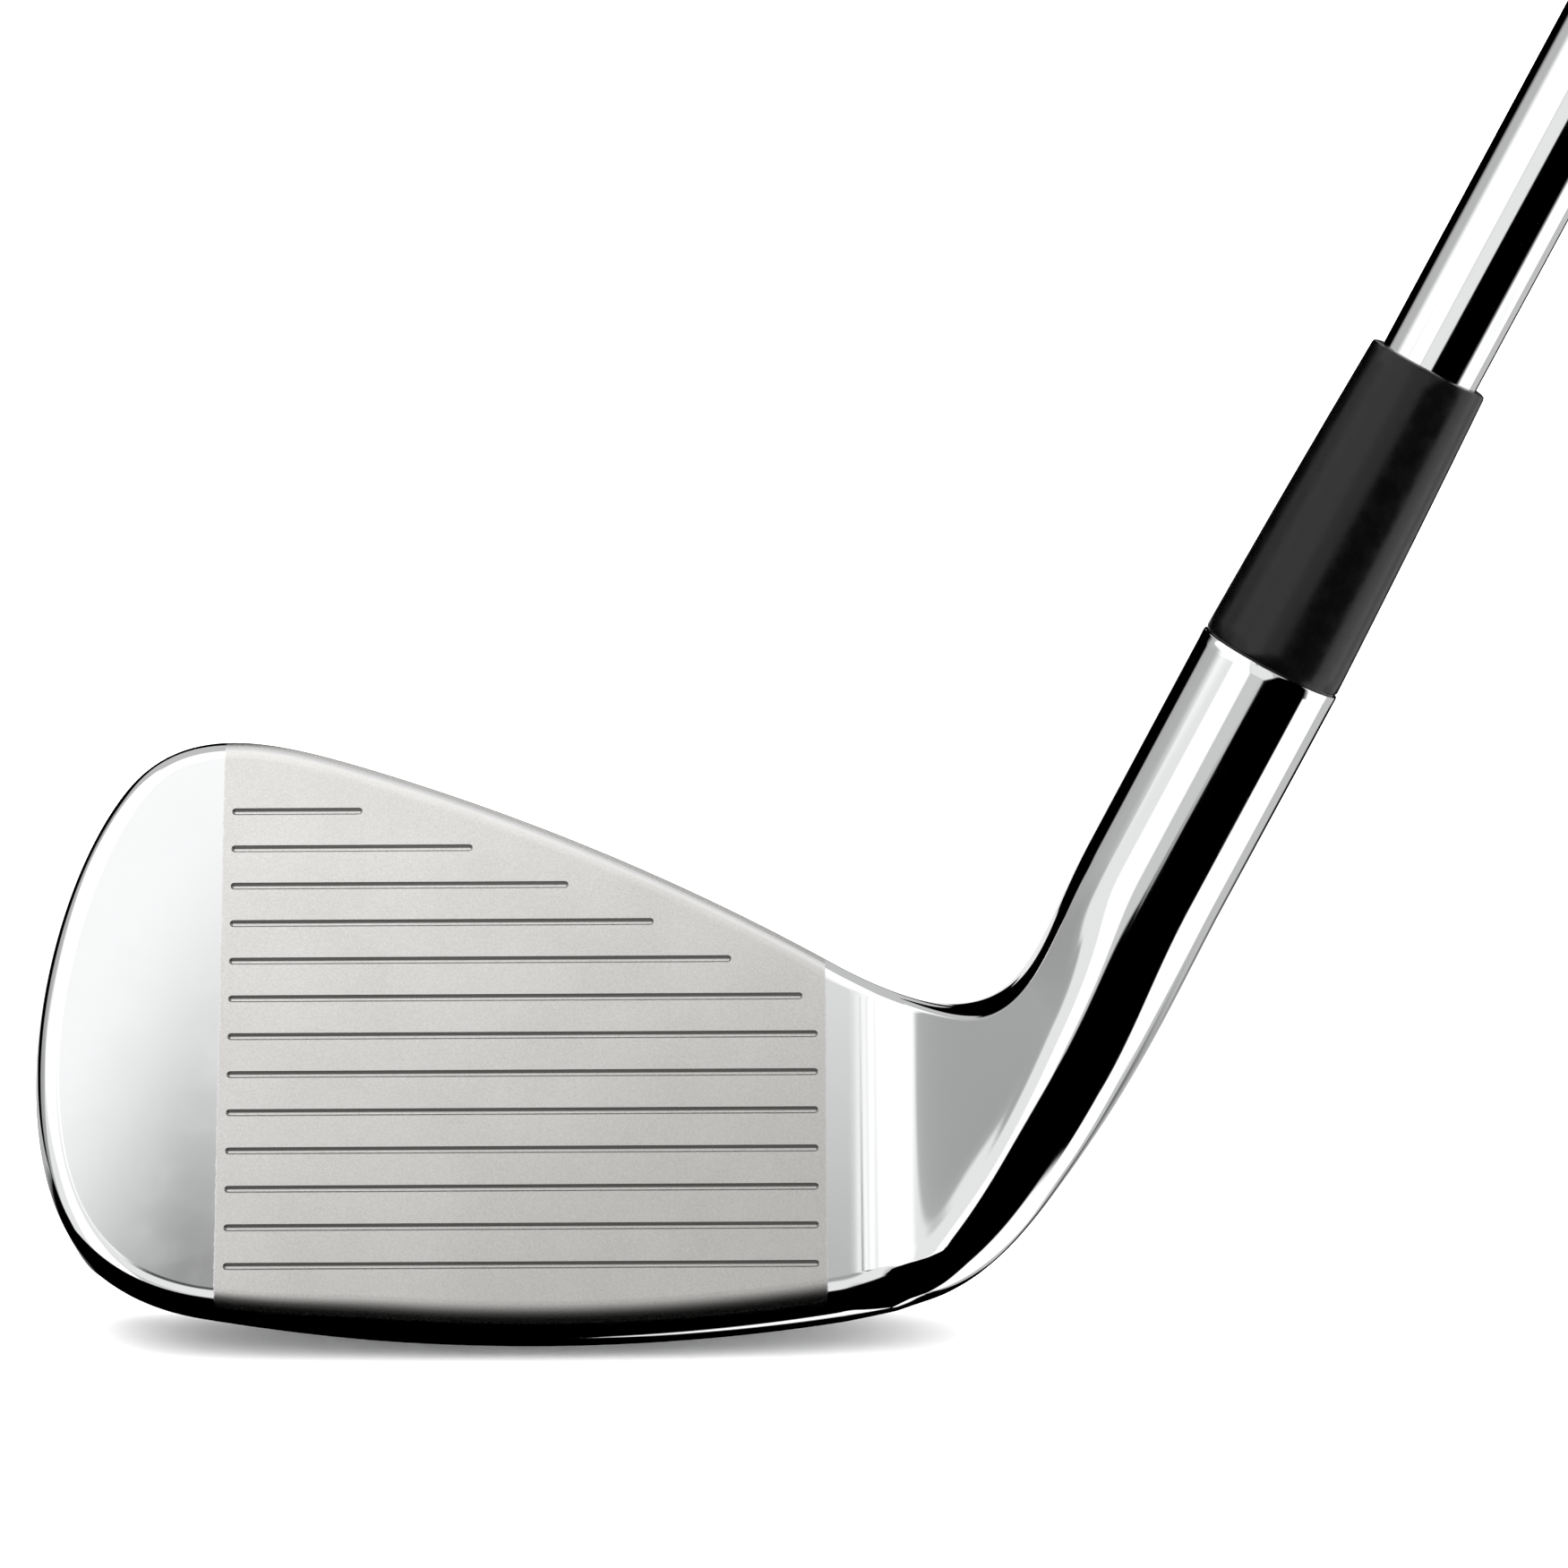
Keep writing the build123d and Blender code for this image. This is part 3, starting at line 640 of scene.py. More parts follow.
def make_plate(material, plate_edges, heel_edge):
    """Flat plate with cut scorelines; its rim lies on the pocket's."""
    rim = plate_rim(plate_edges, heel_edge)
    bm = bmesh.new()

    def ring_of(points):
        return [bm.verts.new(tuple(0.001 * np.asarray(p))) for p in points]

    def loop_edges(ring):
        return [bm.edges.new((a, b)) for a, b in zip(ring, ring[1:] + ring[:1])]

    def bridge(first, second):
        for k in range(len(first)):
            m = (k + 1) % len(first)
            bm.faces.new((first[k], first[m], second[m], second[k]))

    front = ring_of(rim)
    boundary = loop_edges(front)
    slots = []
    for row in range(GROOVE_COUNT):
        up = LOWEST_GROOVE_UP + row * GROOVE_PITCH
        toe, heel = groove_ends(up)
        rings = [ring_of(groove_ring(toe, heel, up, half, deep)) for half, deep in GROOVE_PROFILE]
        boundary += loop_edges(rings[0])
        slots.append(rings)
    bmesh.ops.triangle_fill(bm, use_beauty=True, use_dissolve=False, edges=boundary, normal=tuple(FACE_OUT))
    for rings in slots:
        for first, second in zip(rings, rings[1:]):
            bridge(first, second)
        bm.faces.new(rings[-1])
    rear = ring_of([np.asarray(p) - FACE_OUT * PLATE_THICKNESS for p in rim])
    bridge(front, rear)
    bm.faces.new(rear)
    mesh = bpy.data.meshes.new("Face_plate")
    bm.to_mesh(mesh)
    bm.free()
    clean(mesh, 30)
    add_piece(mesh, material, "face_plate")


# ---------------------------------------------------------------- shaft, ferrule and grip


def make_ferrule(material):
    """Tapered collar with a slight belly and broken edges."""
    foot, head, lip, belly, gap = 6.68, 5.68, 0.35, 0.07, 0.01
    side = []
    for share in np.linspace(0, 1, 25):
        station = HOSEL_TOP + lip + (FERRULE_TOP - HOSEL_TOP - 2 * lip) * share
        side.append((station, foot + (head - foot) * share + belly * sin(pi * share)))
    profile = [(HOSEL_TOP + gap, TIP_RADIUS + gap), (HOSEL_TOP + gap, foot - lip / 2)]
    profile += side
    profile += [(FERRULE_TOP - 0.1, head - 0.1), (FERRULE_TOP, head - lip), (FERRULE_TOP, TIP_RADIUS + gap)]
    points, faces = turned(profile, 96)
    add_mesh("Ferrule", points, faces, material, "ferrule")


def make_shaft(material):
    """Tube whose radius grows in short steps from the tip to the butt."""
    rise = (BUTT_RADIUS - TIP_RADIUS) / STEP_COUNT
    butt_end = CLUB_LENGTH - CAP_THICKNESS
    outside = [(s, TIP_RADIUS) for s in np.linspace(TIP_STATION, FIRST_STEP - 0.4, 12)]
    for step in range(STEP_COUNT):
        station, low = FIRST_STEP + step * STEP_PITCH, TIP_RADIUS + step * rise
        for share in (0, 0.25, 0.5, 0.75, 1):
            outside.append((station + STEP_SLOPE * share, low + rise * float(smooth(share))))
        outside.append((station + STEP_PITCH / 2, low + rise))
    outside.append((butt_end, BUTT_RADIUS))
    inside = [
        (butt_end, BUTT_RADIUS - BUTT_WALL),
        (FIRST_STEP + STEP_COUNT * STEP_PITCH, BUTT_RADIUS - BUTT_WALL),
        (FIRST_STEP, TIP_RADIUS - TIP_WALL),
        (TIP_STATION, TIP_RADIUS - TIP_WALL),
    ]
    points, faces = turned(outside + inside, 96)
    add_mesh("Shaft", points, faces, material, "shaft")


GRIP_LENGTH, CAP_THICKNESS, CAP_ROUND = 267.0, 4.0, 2.5
GRIP_BUTT_RADIUS = 13.2
TAPE_THICKNESS = 0.15
VENT_RADIUS = 1.25
LABEL_START, LABEL_END, LABEL_THICKNESS = 612.0, 660.0, 0.08
# Distance from the grip's mouth and radius.
GRIP_TAPER = [(0, 8.3), (1, 8.6), (4, 8.6), (12, 8.95), (130, 10.7), (218, 12.2), (257, 13.2), (263, 13.2)]


def grip_relief(distance, angle):
    """Moulded relief, never above the grip's own outline: two crossing bands of fine chevrons."""
    reach = smooth((distance - 14) / 6) * smooth((GRIP_LENGTH - 16 - distance) / 6)
    plain_band = smooth((abs((distance - 16) % 58.0 - 29.0) - 25.5) / 1.5)
    turn = angle * 9 / tau
    ridge = abs(sin(pi * (turn + distance / 5.2))) * abs(sin(pi * (turn - distance / 5.2)))
    cut = 1 - smooth((ridge - 0.12) / 0.2)
    return -reach * (0.32 * cut * (1 - plain_band) + 0.4 * plain_band)


def make_grip(material):
    """Tapered sleeve over the taped butt."""
    mouth, butt_end = CLUB_LENGTH - GRIP_LENGTH, CLUB_LENGTH - CAP_THICKNESS
    places, radii = zip(*GRIP_TAPER)
    inner = BUTT_RADIUS + TAPE_THICKNESS
    fine = np.arange(14, 256, 0.6)
    distances = np.concatenate([[0, 0.4, 1, 2.5, 4, 6, 9, 12], fine, [258, 261, butt_end - mouth]])
    profile = [(mouth, inner)]
    profile += [(mouth + d, float(np.interp(d, places, radii))) for d in distances]
    profile += [(butt_end, inner)]

    def relief(station, angle):
        distance = station - mouth
        return float(grip_relief(distance, angle)) if 13 < distance < 256 else 0.0

    points, faces = turned(profile, 160, relief)
    add_mesh("Grip", points, faces, material, "grip")


def make_grip_cap(material):
    """Butt cap with a rounded rim, a shallow ring and the vent hole."""
    foot, head = CLUB_LENGTH - CAP_THICKNESS, CLUB_LENGTH
    rim = []
    for k in range(9):
        angle = pi / 2 * k / 8
        radius = GRIP_BUTT_RADIUS - CAP_ROUND + CAP_ROUND * cos(angle)
        rim.append((head - CAP_ROUND + CAP_ROUND * sin(angle), radius))
    ring = [(head, 9.0), (head - 0.35, 8.8), (head - 0.35, 7.8), (head, 7.6)]
    mouth = [(head, VENT_RADIUS + 0.25), (head - 0.2, VENT_RADIUS)]
    profile = [(foot, VENT_RADIUS), (foot, GRIP_BUTT_RADIUS)] + rim + ring + mouth
    points, faces = turned(profile, 96)
    add_mesh("Grip_cap", points, faces, material, "grip_cap")


def make_label(material):
    """Film wound on the shaft's thickest part, with soft edges."""
    start, end = LABEL_START, LABEL_END
    inner, outer = BUTT_RADIUS + 0.005, BUTT_RADIUS + LABEL_THICKNESS
    lip = BUTT_RADIUS + 0.7 * LABEL_THICKNESS
    profile = [(start, inner), (start, lip), (start + 0.1, outer)]
    profile += [(station, outer) for station in np.linspace(start + 4, end - 4, 9)]
    profile += [(end - 0.1, outer), (end, lip), (end, inner)]
    points, faces = turned(profile, 96)
    add_mesh("Shaft_label", points, faces, material, "shaft_label")


# ---------------------------------------------------------------- materials


class Nodes:
    """A node tree with short ways to add maths to it."""

    def __init__(self, tree):
        self.tree = tree
        tree.nodes.clear()

    def add(self, kind, **settings):
        node = self.tree.nodes.new(kind)
        for key, value in settings.items():
            setattr(node, key, value)
        return node

    def link(self, source, target):
        self.tree.links.new(source, target)

    def feed(self, socket, value):
        if isinstance(value, bpy.types.NodeSocket):
            self.link(value, socket)
        else:
            socket.default_value = value

    def math(self, operation, *values):
        node = self.add("ShaderNodeMath", operation=operation)
        for socket, value in zip(node.inputs, values):
            self.feed(socket, value)
        return node.outputs[0]

    def step(self, value, low, high, out_low=0.0, out_high=1.0):
        """Smooth rise from out_low at low to out_high at high."""
        node = self.add("ShaderNodeMapRange", interpolation_type="SMOOTHSTEP")
        self.feed(node.inputs["Value"], value)
        limits = {"From Min": low, "From Max": high, "To Min": out_low, "To Max": out_high}
        for name, limit in limits.items():
            node.inputs[name].default_value = limit
        return node.outputs[0]

    def window(self, value, low, high):
        """1 between two soft edges, each given by its start and end, and 0 beyond them."""
        return self.math("MULTIPLY", self.step(value, *low), self.step(value, *high, 1.0, 0.0))

    def split(self, vector):
        """The x, y and z of a vector."""
        node = self.add("ShaderNodeSeparateXYZ")
        self.link(vector, node.inputs[0])
        return node.outputs

    def mix(self, share, low, high):
        node = self.add("ShaderNodeMix", data_type="FLOAT")
        for socket, value in zip((node.inputs[0], node.inputs[2], node.inputs[3]), (share, low, high)):
            self.feed(socket, value)
        return node.outputs[0]

    def mix_colour(self, share, low, high):
        node = self.add("ShaderNodeMix", data_type="RGBA")
        for socket, value in zip((node.inputs[0], node.inputs[6], node.inputs[7]), (share, low, high)):
            self.feed(socket, value)
        return node.outputs[2]

    def mix_shaders(self, share, low, high):
        node = self.add("ShaderNodeMixShader")
        for socket, value in zip(node.inputs, (share, low, high)):
            self.link(value, socket)
        return node.outputs[0]

    def multiply(self, first, second):
        node = self.add("ShaderNodeMix", data_type="RGBA", blend_type="MULTIPLY")
        for socket, value in zip((node.inputs[0], node.inputs[6], node.inputs[7]), (1.0, first, second)):
            self.feed(socket, value)
        return node.outputs[2]

    def noise(self, coordinates, scale, detail=2.0, roughness=0.5):
        node = self.add("ShaderNodeTexNoise")
        self.feed(node.inputs["Vector"], coordinates)
        for name, value in {"Scale": scale, "Detail": detail, "Roughness": roughness}.items():
            node.inputs[name].default_value = value
        return node.outputs[0]

    def bump(self, height, distance, strength=1.0):
        node = self.add("ShaderNodeBump")
        node.inputs["Strength"].default_value = strength
        node.inputs["Distance"].default_value = distance
        self.feed(node.inputs["Height"], height)
        return node.outputs[0]


CHROME = (0.86, 0.865, 0.87, 1)


def around(edge, softness):
    return edge - softness, edge + softness


def new_material(name):
    """Material with a Principled shader: itself, its node maker, the shader's sockets, the coordinates."""
    material = bpy.data.materials.new(name)
    material.use_nodes = True
    nodes = Nodes(material.node_tree)
    shader = nodes.add("ShaderNodeBsdfPrincipled")
    output = nodes.add("ShaderNodeOutputMaterial")
    nodes.link(shader.outputs[0], output.inputs[0])
    place = nodes.add("ShaderNodeTexCoord").outputs["Object"]
    return material, nodes, shader.inputs, place


def polished_chrome(name, roughness=0.035):
    """Mirror plate with the faint haze and hairlines that handling leaves."""
    material, nodes, shader, place = new_material(name)
    shader["Metallic"].default_value = 1.0
    shader["Base Color"].default_value = CHROME
    haze = nodes.noise(place, 180.0, 3.0)
    nodes.link(nodes.step(haze, 0.35, 0.8, roughness, roughness * 2.2), shader["Roughness"])
    nodes.link(nodes.bump(nodes.noise(place, 900.0, 2.0), 2e-6, 0.25), shader["Normal"])
    return material


# Mask lines of the blasted area, and how far it reaches over the face's edges.
BLAST_TOE_X, BLAST_HEEL_X = -62.85, -6.48
BLAST_DEPTH, SOLE_BLAST_DEPTH = 2.9, 0.7
MASK_SOFT = 0.09


def blasted_chrome(name):
    """Chrome that is bead-blasted between two straight mask lines and mirror-polished elsewhere."""
    material, nodes, shader, place = new_material(name)
    shader["Metallic"].default_value = 1.0
    x, y, z = nodes.split(place)
    edge = nodes.math("MULTIPLY", nodes.math("SUBTRACT", nodes.noise(place, 3500.0, 2.0), 0.5), 0.00028)
    across = nodes.math("MULTIPLY", nodes.math("ADD", x, edge), 1e3)
    between_lines = nodes.window(across, around(BLAST_TOE_X, MASK_SOFT), around(BLAST_HEEL_X, MASK_SOFT))
    # depth behind the face plane, from y and z
    lean = nodes.math("MULTIPLY", nodes.math("SUBTRACT", y, FACE_FOOT_Y * 1e-3), cos(LOFT))
    depth = nodes.math("SUBTRACT", lean, nodes.math("MULTIPLY", z, sin(LOFT)))
    reach = nodes.step(z, 0.01, 0.02, SOLE_BLAST_DEPTH * 1e-3, BLAST_DEPTH * 1e-3)
    front = nodes.step(nodes.math("SUBTRACT", depth, reach), -0.2e-3, 0.2e-3, 1.0, 0.0)
    mask = nodes.math("MULTIPLY", between_lines, front)

    grain = nodes.noise(place, 5200.0, 3.0, 0.65)
    cloud = nodes.noise(place, 120.0, 3.0)
    dull, bright = nodes.step(grain, 0.25, 0.75, 0.0, 0.8), nodes.step(grain, 0.25, 0.75, 0.2, 1.0)
    tone = nodes.mix(nodes.step(cloud, 0.3, 0.7), dull, bright)
    blasted = nodes.mix_colour(tone, (0.80, 0.79, 0.775, 1), (1.0, 1.0, 1.0, 1))
    # painted shade: the blasted colour is darker low on the face and towards the heel
    towards_crown = nodes.math("SUBTRACT", z, nodes.math("MULTIPLY", x, 0.45))
    painted_light_share = nodes.step(towards_crown, 0.0, 0.085)
    ground = nodes.mix_colour(painted_light_share, (0.60, 0.595, 0.58, 1), (0.98, 0.97, 0.955, 1))
    blasted = nodes.multiply(blasted, ground)
    # painted shade: what faces down the face is painted dark, the upper walls of the scorelines and the
    # leading edge
    facing = nodes.add("ShaderNodeVectorMath", operation="DOT_PRODUCT")
    facing.inputs[1].default_value = tuple(-FACE_UP)
    nodes.link(nodes.add("ShaderNodeNewGeometry").outputs["Normal"], facing.inputs[0])
    downward = nodes.step(facing.outputs["Value"], 0.03, 0.4)
    blasted = nodes.mix_colour(downward, blasted, nodes.multiply(blasted, (0.17, 0.17, 0.17, 1)))
    # painted highlight: the floors and lower walls of the scorelines are painted bright
    upward = nodes.step(facing.outputs["Value"], -0.5, -0.2, 1.0, 0.0)
    in_line = nodes.window(depth, (0.02e-3, 0.1e-3), (0.45e-3, 0.5e-3))
    blasted = nodes.mix_colour(nodes.math("MULTIPLY", in_line, upward), blasted, (1, 1, 1, 1))
    nodes.link(nodes.mix_colour(mask, CHROME, blasted), shader["Base Color"])
    # a light haze on the mirror, and the blasted roughness, a little less on the rolled edges
    haze = nodes.step(nodes.noise(place, 180.0, 3.0), 0.35, 0.8, 0.035, 0.07)
    on_roll = nodes.step(depth, 0.05e-3, 0.4e-3, 0.0, 0.15)
    matt = nodes.math("SUBTRACT", nodes.step(grain, 0.2, 0.8, 0.40, 0.5), on_roll)
    nodes.link(nodes.mix(mask, haze, matt), shader["Roughness"])
    relief = nodes.math("SUBTRACT", grain, 0.5)
    height = nodes.math("MULTIPLY", relief, nodes.math("MULTIPLY", mask, nodes.mix(downward, 1.0, 0.4)))
    nodes.link(nodes.bump(height, 2.6e-5, 0.6), shader["Normal"])
    return material


def ferrule_plastic(name):
    """Wiped black cellulose: smooth, with a faint cloudy haze."""
    material, nodes, shader, place = new_material(name)
    shader["Specular IOR Level"].default_value = 0.36
    cloud = nodes.noise(place, 700.0, 4.0)
    black = nodes.mix_colour(cloud, (0.0008, 0.0008, 0.0009, 1), (0.002, 0.002, 0.0022, 1))
    nodes.link(black, shader["Base Color"])
    nodes.link(nodes.step(cloud, 0.3, 0.75, 0.2, 0.3), shader["Roughness"])
    nodes.link(nodes.bump(nodes.noise(place, 2500.0, 2.0), 4e-6, 0.4), shader["Normal"])
    return material


def moulded_rubber(name, dark, light, grain=4200.0):
    """Matt rubber, resin or tape, speckled between two colours."""
    material, nodes, shader, place = new_material(name)
    shader["Specular IOR Level"].default_value = 0.35
    speck = nodes.noise(place, grain, 3.0, 0.6)
    nodes.link(nodes.mix_colour(nodes.step(speck, 0.3, 0.7), (*dark, 1), (*light, 1)), shader["Base Color"])
    nodes.link(nodes.step(nodes.noise(place, 260.0, 3.0), 0.3, 0.7, 0.62, 0.82), shader["Roughness"])
    nodes.link(nodes.bump(speck, 4e-5, 0.5), shader["Normal"])
    return material


def satin_metal(name, colour, roughness=0.3, grain=1800.0):
    """Plain turned or sintered metal with a fine even grain."""
    material, nodes, shader, place = new_material(name)
    shader["Metallic"].default_value = 1.0
    speck = nodes.noise(place, grain, 3.0)
    dull = tuple(0.8 * c for c in colour)
    nodes.link(nodes.mix_colour(nodes.step(speck, 0.3, 0.7), (*dull, 1), (*colour, 1)), shader["Base Color"])
    nodes.link(nodes.step(speck, 0.3, 0.7, roughness, roughness + 0.12), shader["Roughness"])
    nodes.link(nodes.bump(speck, 1e-5, 0.3), shader["Normal"])
    return material


def brushed_metal(name, colour):
    """Metal brushed along the club's toe-to-heel direction."""
    material, nodes, shader, place = new_material(name)
    shader["Metallic"].default_value = 1.0
    stretch = nodes.add("ShaderNodeMapping")
    stretch.inputs["Scale"].default_value = (0.03, 1, 1)
    nodes.link(place, stretch.inputs["Vector"])
    lines = nodes.noise(stretch.outputs[0], 9000.0, 3.0, 0.6)
    dull = tuple(0.72 * c for c in colour)
    nodes.link(nodes.mix_colour(lines, (*dull, 1), (*colour, 1)), shader["Base Color"])
    nodes.link(nodes.step(lines, 0.3, 0.7, 0.28, 0.42), shader["Roughness"])
    nodes.link(nodes.bump(lines, 1.2e-5, 0.5), shader["Normal"])
    return material


def banded_film(name):
    """Coated film with plain bands across the shaft."""
    material, nodes, shader, place = new_material(name)
    x, _, z = nodes.split(place)
    along = nodes.math("ADD", nodes.math("MULTIPLY", x, cos(LIE)), nodes.math("MULTIPLY", z, sin(LIE)))
    middle = 0.0005 * (LABEL_START + LABEL_END)
    off_middle = nodes.math("ABSOLUTE", nodes.math("SUBTRACT", along, middle))
    band = nodes.window(off_middle, (0.0135, 0.0137), (0.0183, 0.0185))
    speck = nodes.noise(place, 2000.0, 2.0)
    ground = nodes.mix_colour(speck, (0.018, 0.02, 0.025, 1), (0.03, 0.032, 0.037, 1))
    nodes.link(nodes.mix_colour(band, ground, (0.55, 0.56, 0.58, 1)), shader["Base Color"])
    nodes.link(nodes.step(speck, 0.3, 0.7, 0.16, 0.26), shader["Roughness"])
    nodes.link(nodes.bump(speck, 4e-6, 0.3), shader["Normal"])
    return material


def dress_hidden_pieces():
    """CAD solids that keep their own shape get a finish with some grain."""
    finishes = {
        "toe_weight": satin_metal("Tungsten", (0.22, 0.22, 0.23), 0.45, 2600.0),
        "urethane_fill": moulded_rubber("Urethane", (0.38, 0.34, 0.27), (0.5, 0.46, 0.38), 900.0),
        "port_screw": satin_metal("Plated_steel", (0.6, 0.6, 0.61), 0.22),
        "badge_damper": moulded_rubber("Damper", (0.02, 0.02, 0.02), (0.04, 0.04, 0.04)),
        "badge_tape": moulded_rubber("Adhesive_tape", (0.6, 0.56, 0.45), (0.72, 0.68, 0.56), 1500.0),
        "hosel_epoxy": moulded_rubber("Epoxy", (0.22, 0.19, 0.13), (0.32, 0.28, 0.2), 1500.0),
        "tip_weight": satin_metal("Brass", (0.7, 0.5, 0.22), 0.25),
        "badge_plate": brushed_metal("Badge_metal", (0.6, 0.61, 0.63)),
    }
    finishes["heel_weight"] = finishes["toe_weight"]
    finishes["grip_tape"] = finishes["badge_tape"]
    for node, material in finishes.items():
        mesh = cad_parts[node].data
        mesh.materials.clear()
        mesh.materials.append(material)


# ---------------------------------------------------------------- studio


# Cards round the chrome, each laid over the ones before it: brightness, turns, heights, slant and softness.
CARDS = [
    # left: the large white card that the hosel and the toe's edge mirror, and black low and behind
    (0.9, (-84, -58), (-40, 22), dict()),
    (1.25, (-90, -14), (21, 60), dict(turn_soft=(10, 2))),
    (1.25, (-112, -80), (29, 60), dict()),
    (1.25, (-58, -27), (-40, 22), dict()),
    (0.66, (-26, 10), (-40, 30), dict()),
    (0.9, (-26, 10), (-5.2, 30), dict(slant=-0.5, soft=(1, 4))),
    (0.0, (-190, -126), (-90, 30), dict(turn_soft=(1, 8))),
    (0.0, (-190, -80), (-150, -58.2), dict(slant=-0.6, soft=(1, 1.5))),
    (0.0, (-190, -104), (-95, -18), dict(turn_soft=(1, 6))),
    # front: black below the horizon
    (0.0, (-200, -10), (-95, -1.3), dict(slant=0.152, soft=(1, 1))),
    (0.0, (-14, 66), (-95, -1), dict(slant=0.4, soft=(1, 1.5), turn_soft=(1.5, 4))),
    # right: white card, grey wall, black
    (1.3, (63, 119), (-84, -30.3), dict(soft=(3, 0.8), turn_soft=(1.5, 3))),
    (1.3, (70, 117), (-30.3, 10), dict(soft=(0.8, 1), turn_soft=(1.5, 3))),
    (0.59, (119, 148), (-84, 10), dict(turn_soft=(2, 3))),
    (0.0, (150, 190), (-90, 10), dict(turn_soft=(3, 1))),
    (0.59, (106, 136), (-84, -37), dict(turn_soft=(3, 3))),
    (0.0, (134, 190), (-84, -37), dict(turn_soft=(3, 1))),
    (1.3, (48, 119), (-95, -48), dict(turn_soft=(3, 3))),
]


def studio_light():
    """Even light for matt surfaces, and a set of white, grey and black cards for the chrome to mirror.

    A direction is given by its turn from the front (degrees, positive to the right) and its height.
    """
    world = bpy.data.worlds.new("Studio")
    scene.world = world
    world.use_nodes = True
    world.cycles.sampling_method = "NONE"
    nodes = Nodes(world.node_tree)
    x, y, z = nodes.split(nodes.add("ShaderNodeTexCoord").outputs["Generated"])
    turn = nodes.math("MULTIPLY", nodes.math("ARCTAN2", x, nodes.math("MULTIPLY", y, -1.0)), 180 / pi)
    height = nodes.math("MULTIPLY", nodes.math("ARCSINE", z), 180 / pi)

    def card(level, brightness, turns, heights, slant=0.0, soft=(2.0, 2.0), turn_soft=(2.0, 2.0)):
        """Lay a card over what is there; slant lifts it as it runs to the right."""
        lifted = nodes.math("SUBTRACT", height, nodes.math("MULTIPLY", turn, slant))
        across = nodes.window(turn, *map(around, turns, turn_soft))
        upwards = nodes.window(lifted, *map(around, heights, soft))
        return nodes.mix(nodes.math("MULTIPLY", across, upwards), level, brightness)

    level = nodes.step(height, -60.0, 60.0, 0.5, 0.6)
    wall = nodes.step(height, 5.0, 28.0, 0.38, 0.54)
    level = card(level, wall, (-124, -84), (-40, 60), turn_soft=(8, 8))
    for brightness, turns, heights, edges in CARDS:
        level = card(level, brightness, turns, heights, **edges)
    # above: what the flat of the face mirrors, a wash that darkens downwards
    left_turn = nodes.math("MINIMUM", nodes.math("ADD", turn, 6.8), 0.0)
    risen = nodes.math("SUBTRACT", height, nodes.math("MULTIPLY", left_turn, 1.6))
    heel_share = nodes.step(turn, -6.4, -5.4)
    heel_rise = nodes.step(turn, -4.5, 0.4, 1.0, 0.0)
    dark = nodes.mix(heel_share, 0.1, nodes.mix(heel_rise, 0.4, 1.0))
    light = nodes.mix(heel_share, 1.1, nodes.mix(heel_rise, 0.9, 1.0))
    wash = nodes.mix(nodes.step(risen, 39.85, 46.05), dark, light)
    level = nodes.mix(card(0.0, 1.0, (-14, 14), (30, 58), turn_soft=(3, 3)), level, wash)
    level = card(level, 1.2, (-100, 100), (52, 120), soft=(6, 1))
    path = nodes.add("ShaderNodeLightPath").outputs
    seen = nodes.mix(path["Is Diffuse Ray"], level, 2.4)
    seen = nodes.mix(path["Is Camera Ray"], seen, 1.0)
    background = nodes.add("ShaderNodeBackground")
    background.inputs["Color"].default_value = (1, 1, 1, 1)
    nodes.link(seen, background.inputs["Strength"])
    output = nodes.add("ShaderNodeOutputWorld")
    nodes.link(background.outputs[0], output.inputs[0])


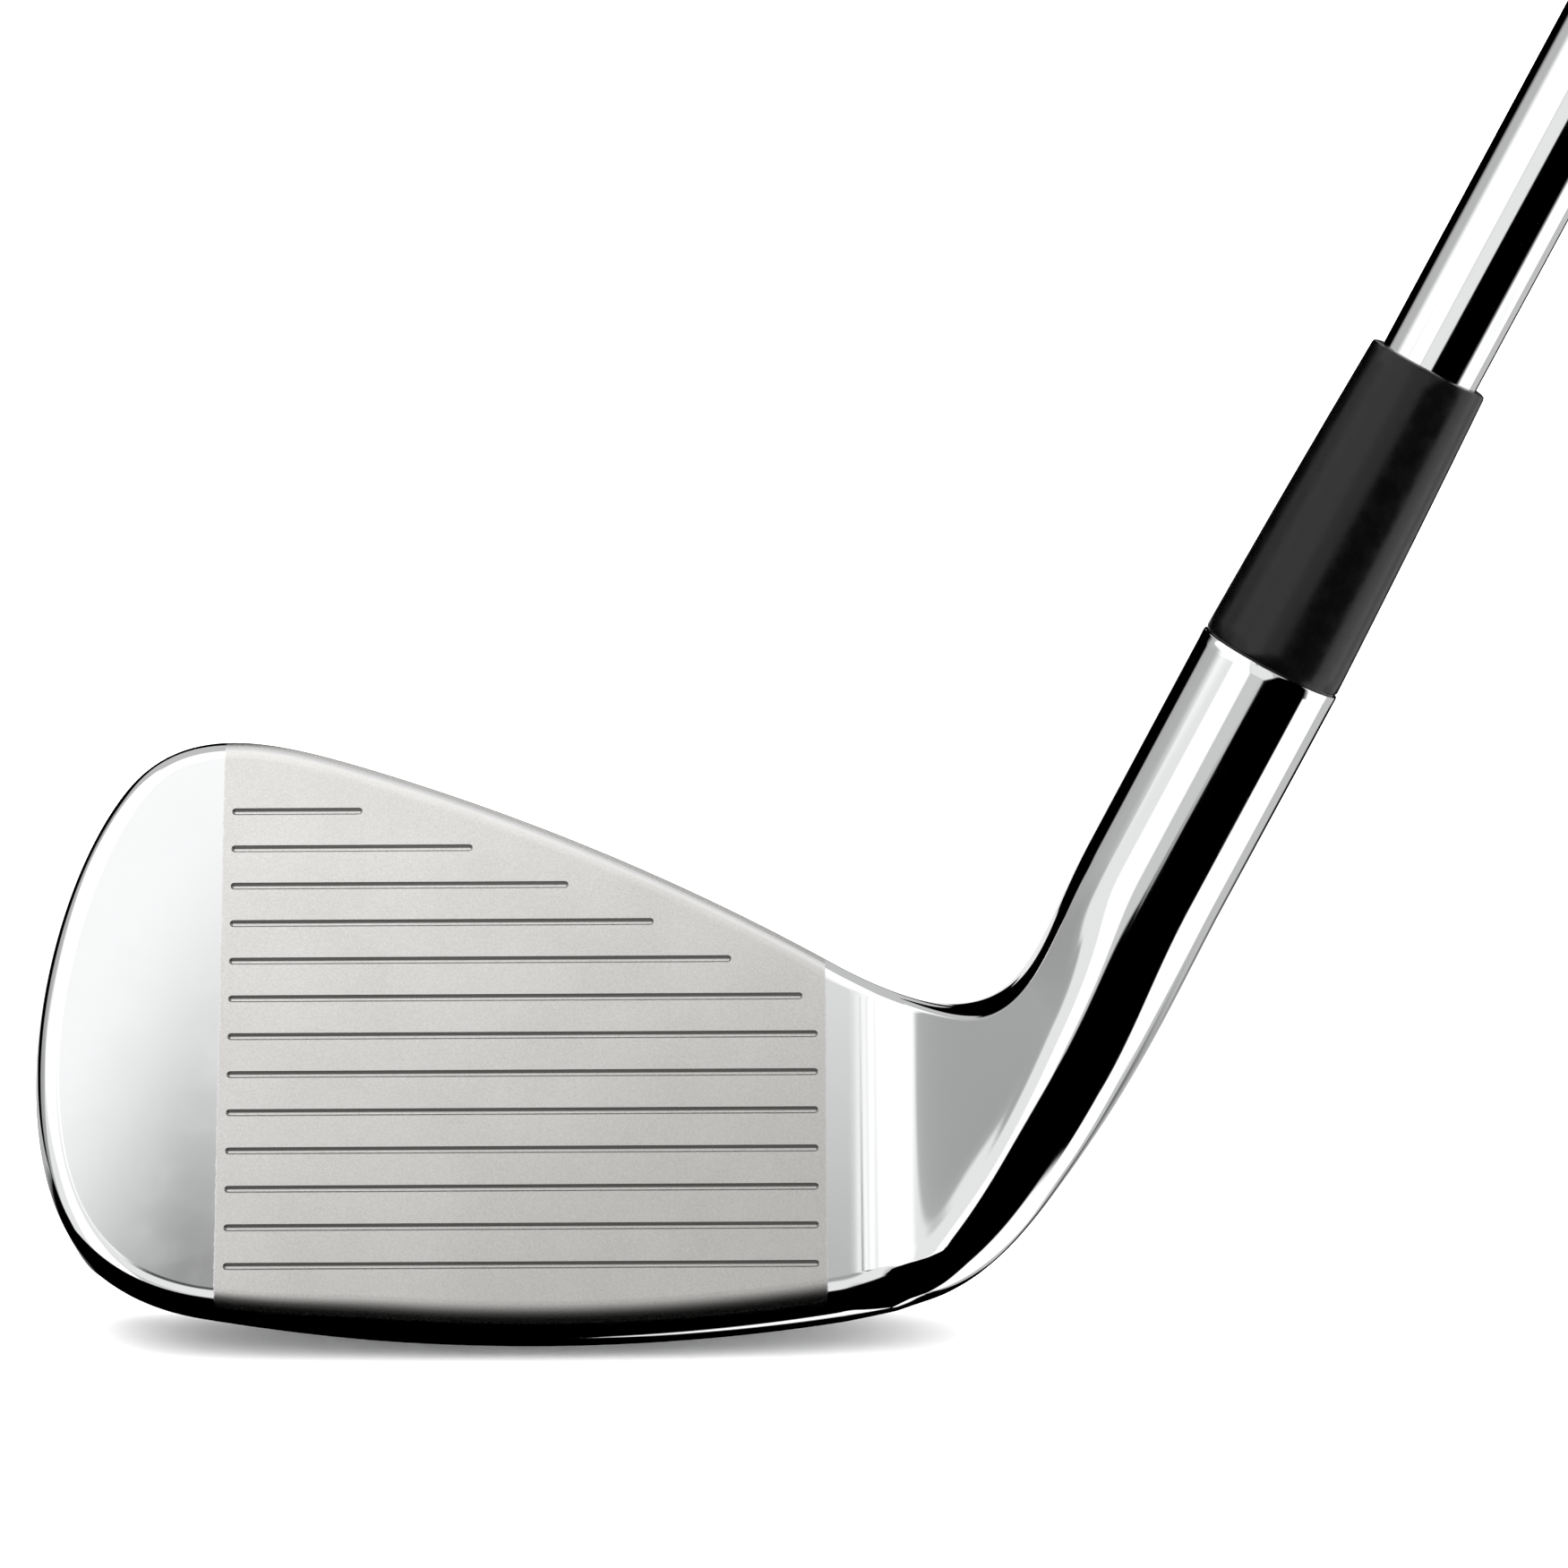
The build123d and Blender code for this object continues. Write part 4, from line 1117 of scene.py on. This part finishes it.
def floor_paper():
    """Pale paper. Chrome mirrors it only behind the head, as a painted reflection: a glow, dimmer near the
    head as painted shadow. Elsewhere chrome mirrors the cards below the horizon.
    """
    material, nodes, shader, place = new_material("Floor_paper")
    shader["Roughness"].default_value = 0.9
    shader["Specular IOR Level"].default_value = 0.0
    fibre = nodes.noise(place, 40.0, 3.0)
    nodes.link(nodes.mix_colour(fibre, (0.93, 0.93, 0.93, 1), (0.95, 0.95, 0.95, 1)), shader["Base Color"])
    x, y, _ = nodes.split(place)
    beside = nodes.window(x, (-0.4, -0.3), (0.04, 0.09))
    behind = nodes.math("MULTIPLY", nodes.step(y, 0.028, 0.034), beside)
    # painted reflection: the paper glows to glossy rays only, dimmer near the head as painted shadow
    glow = nodes.math("ADD", nodes.step(y, 0.028, 0.06, 0.1, 0.5), nodes.step(y, 0.06, 0.3, 0.0, 0.4))
    paper = nodes.add("ShaderNodeEmission")
    nodes.link(glow, paper.inputs["Strength"])
    paper.inputs["Color"].default_value = (1, 1, 1, 1)
    clear = nodes.add("ShaderNodeBsdfTransparent")
    mirrored = nodes.mix_shaders(behind, clear.outputs[0], paper.outputs[0])
    matt = shader["Base Color"].node.outputs[0]
    glossy = nodes.add("ShaderNodeLightPath").outputs["Is Glossy Ray"]
    output = next(node for node in material.node_tree.nodes if node.type == "OUTPUT_MATERIAL")
    nodes.link(nodes.mix_shaders(glossy, matt, mirrored), output.inputs[0])
    return material


def studio_floor():
    bm = bmesh.new()
    bmesh.ops.create_grid(bm, x_segments=8, y_segments=8, size=9.0)
    mesh = bpy.data.meshes.new("Floor")
    bm.to_mesh(mesh)
    bm.free()
    mesh.materials.append(floor_paper())
    floor = bpy.data.objects.new("Floor", mesh)
    scene.collection.objects.link(floor)


def place_camera():
    """Level product-shot camera, 0.6 m in front of the head and looking 10 degrees down."""
    tilt, roll = radians(10.0), radians(0.3)
    right0, up0 = Vector((1, 0, 0)), Vector((0, sin(tilt), cos(tilt)))
    ahead = Vector((0, cos(tilt), -sin(tilt)))
    right = right0 * cos(roll) - up0 * sin(roll)
    up = right0 * sin(roll) + up0 * cos(roll)
    data = bpy.data.cameras.new("Camera")
    data.sensor_width = 36.0
    data.lens = 157.0
    data.clip_start = 0.01
    camera = bpy.data.objects.new("Camera", data)
    rotation = Matrix((right, up, -ahead)).transposed().to_4x4()
    camera.matrix_world = Matrix.Translation((-0.01023, -0.61277, 0.16147)) @ rotation
    scene.collection.objects.link(camera)
    scene.camera = camera


def main():
    head_metal = blasted_chrome("Head_chrome")
    plate_edges, blade = make_head(head_metal)
    heel_edge = blade[-1][RING_EDGE : RING_EDGE + RING_PLATE + 1]
    make_plate(head_metal, plate_edges, heel_edge)
    make_ferrule(ferrule_plastic("Ferrule_black"))
    make_shaft(polished_chrome("Shaft_chrome", 0.03))
    make_label(banded_film("Label_film"))
    make_grip(moulded_rubber("Grip_rubber", (0.012, 0.012, 0.013), (0.03, 0.03, 0.032)))
    make_grip_cap(moulded_rubber("Cap_rubber", (0.014, 0.014, 0.015), (0.034, 0.034, 0.036)))
    dress_hidden_pieces()
    studio_floor()
    studio_light()
    place_camera()
    scene.view_settings.view_transform = "Standard"
    scene.view_settings.look = "None"


main()
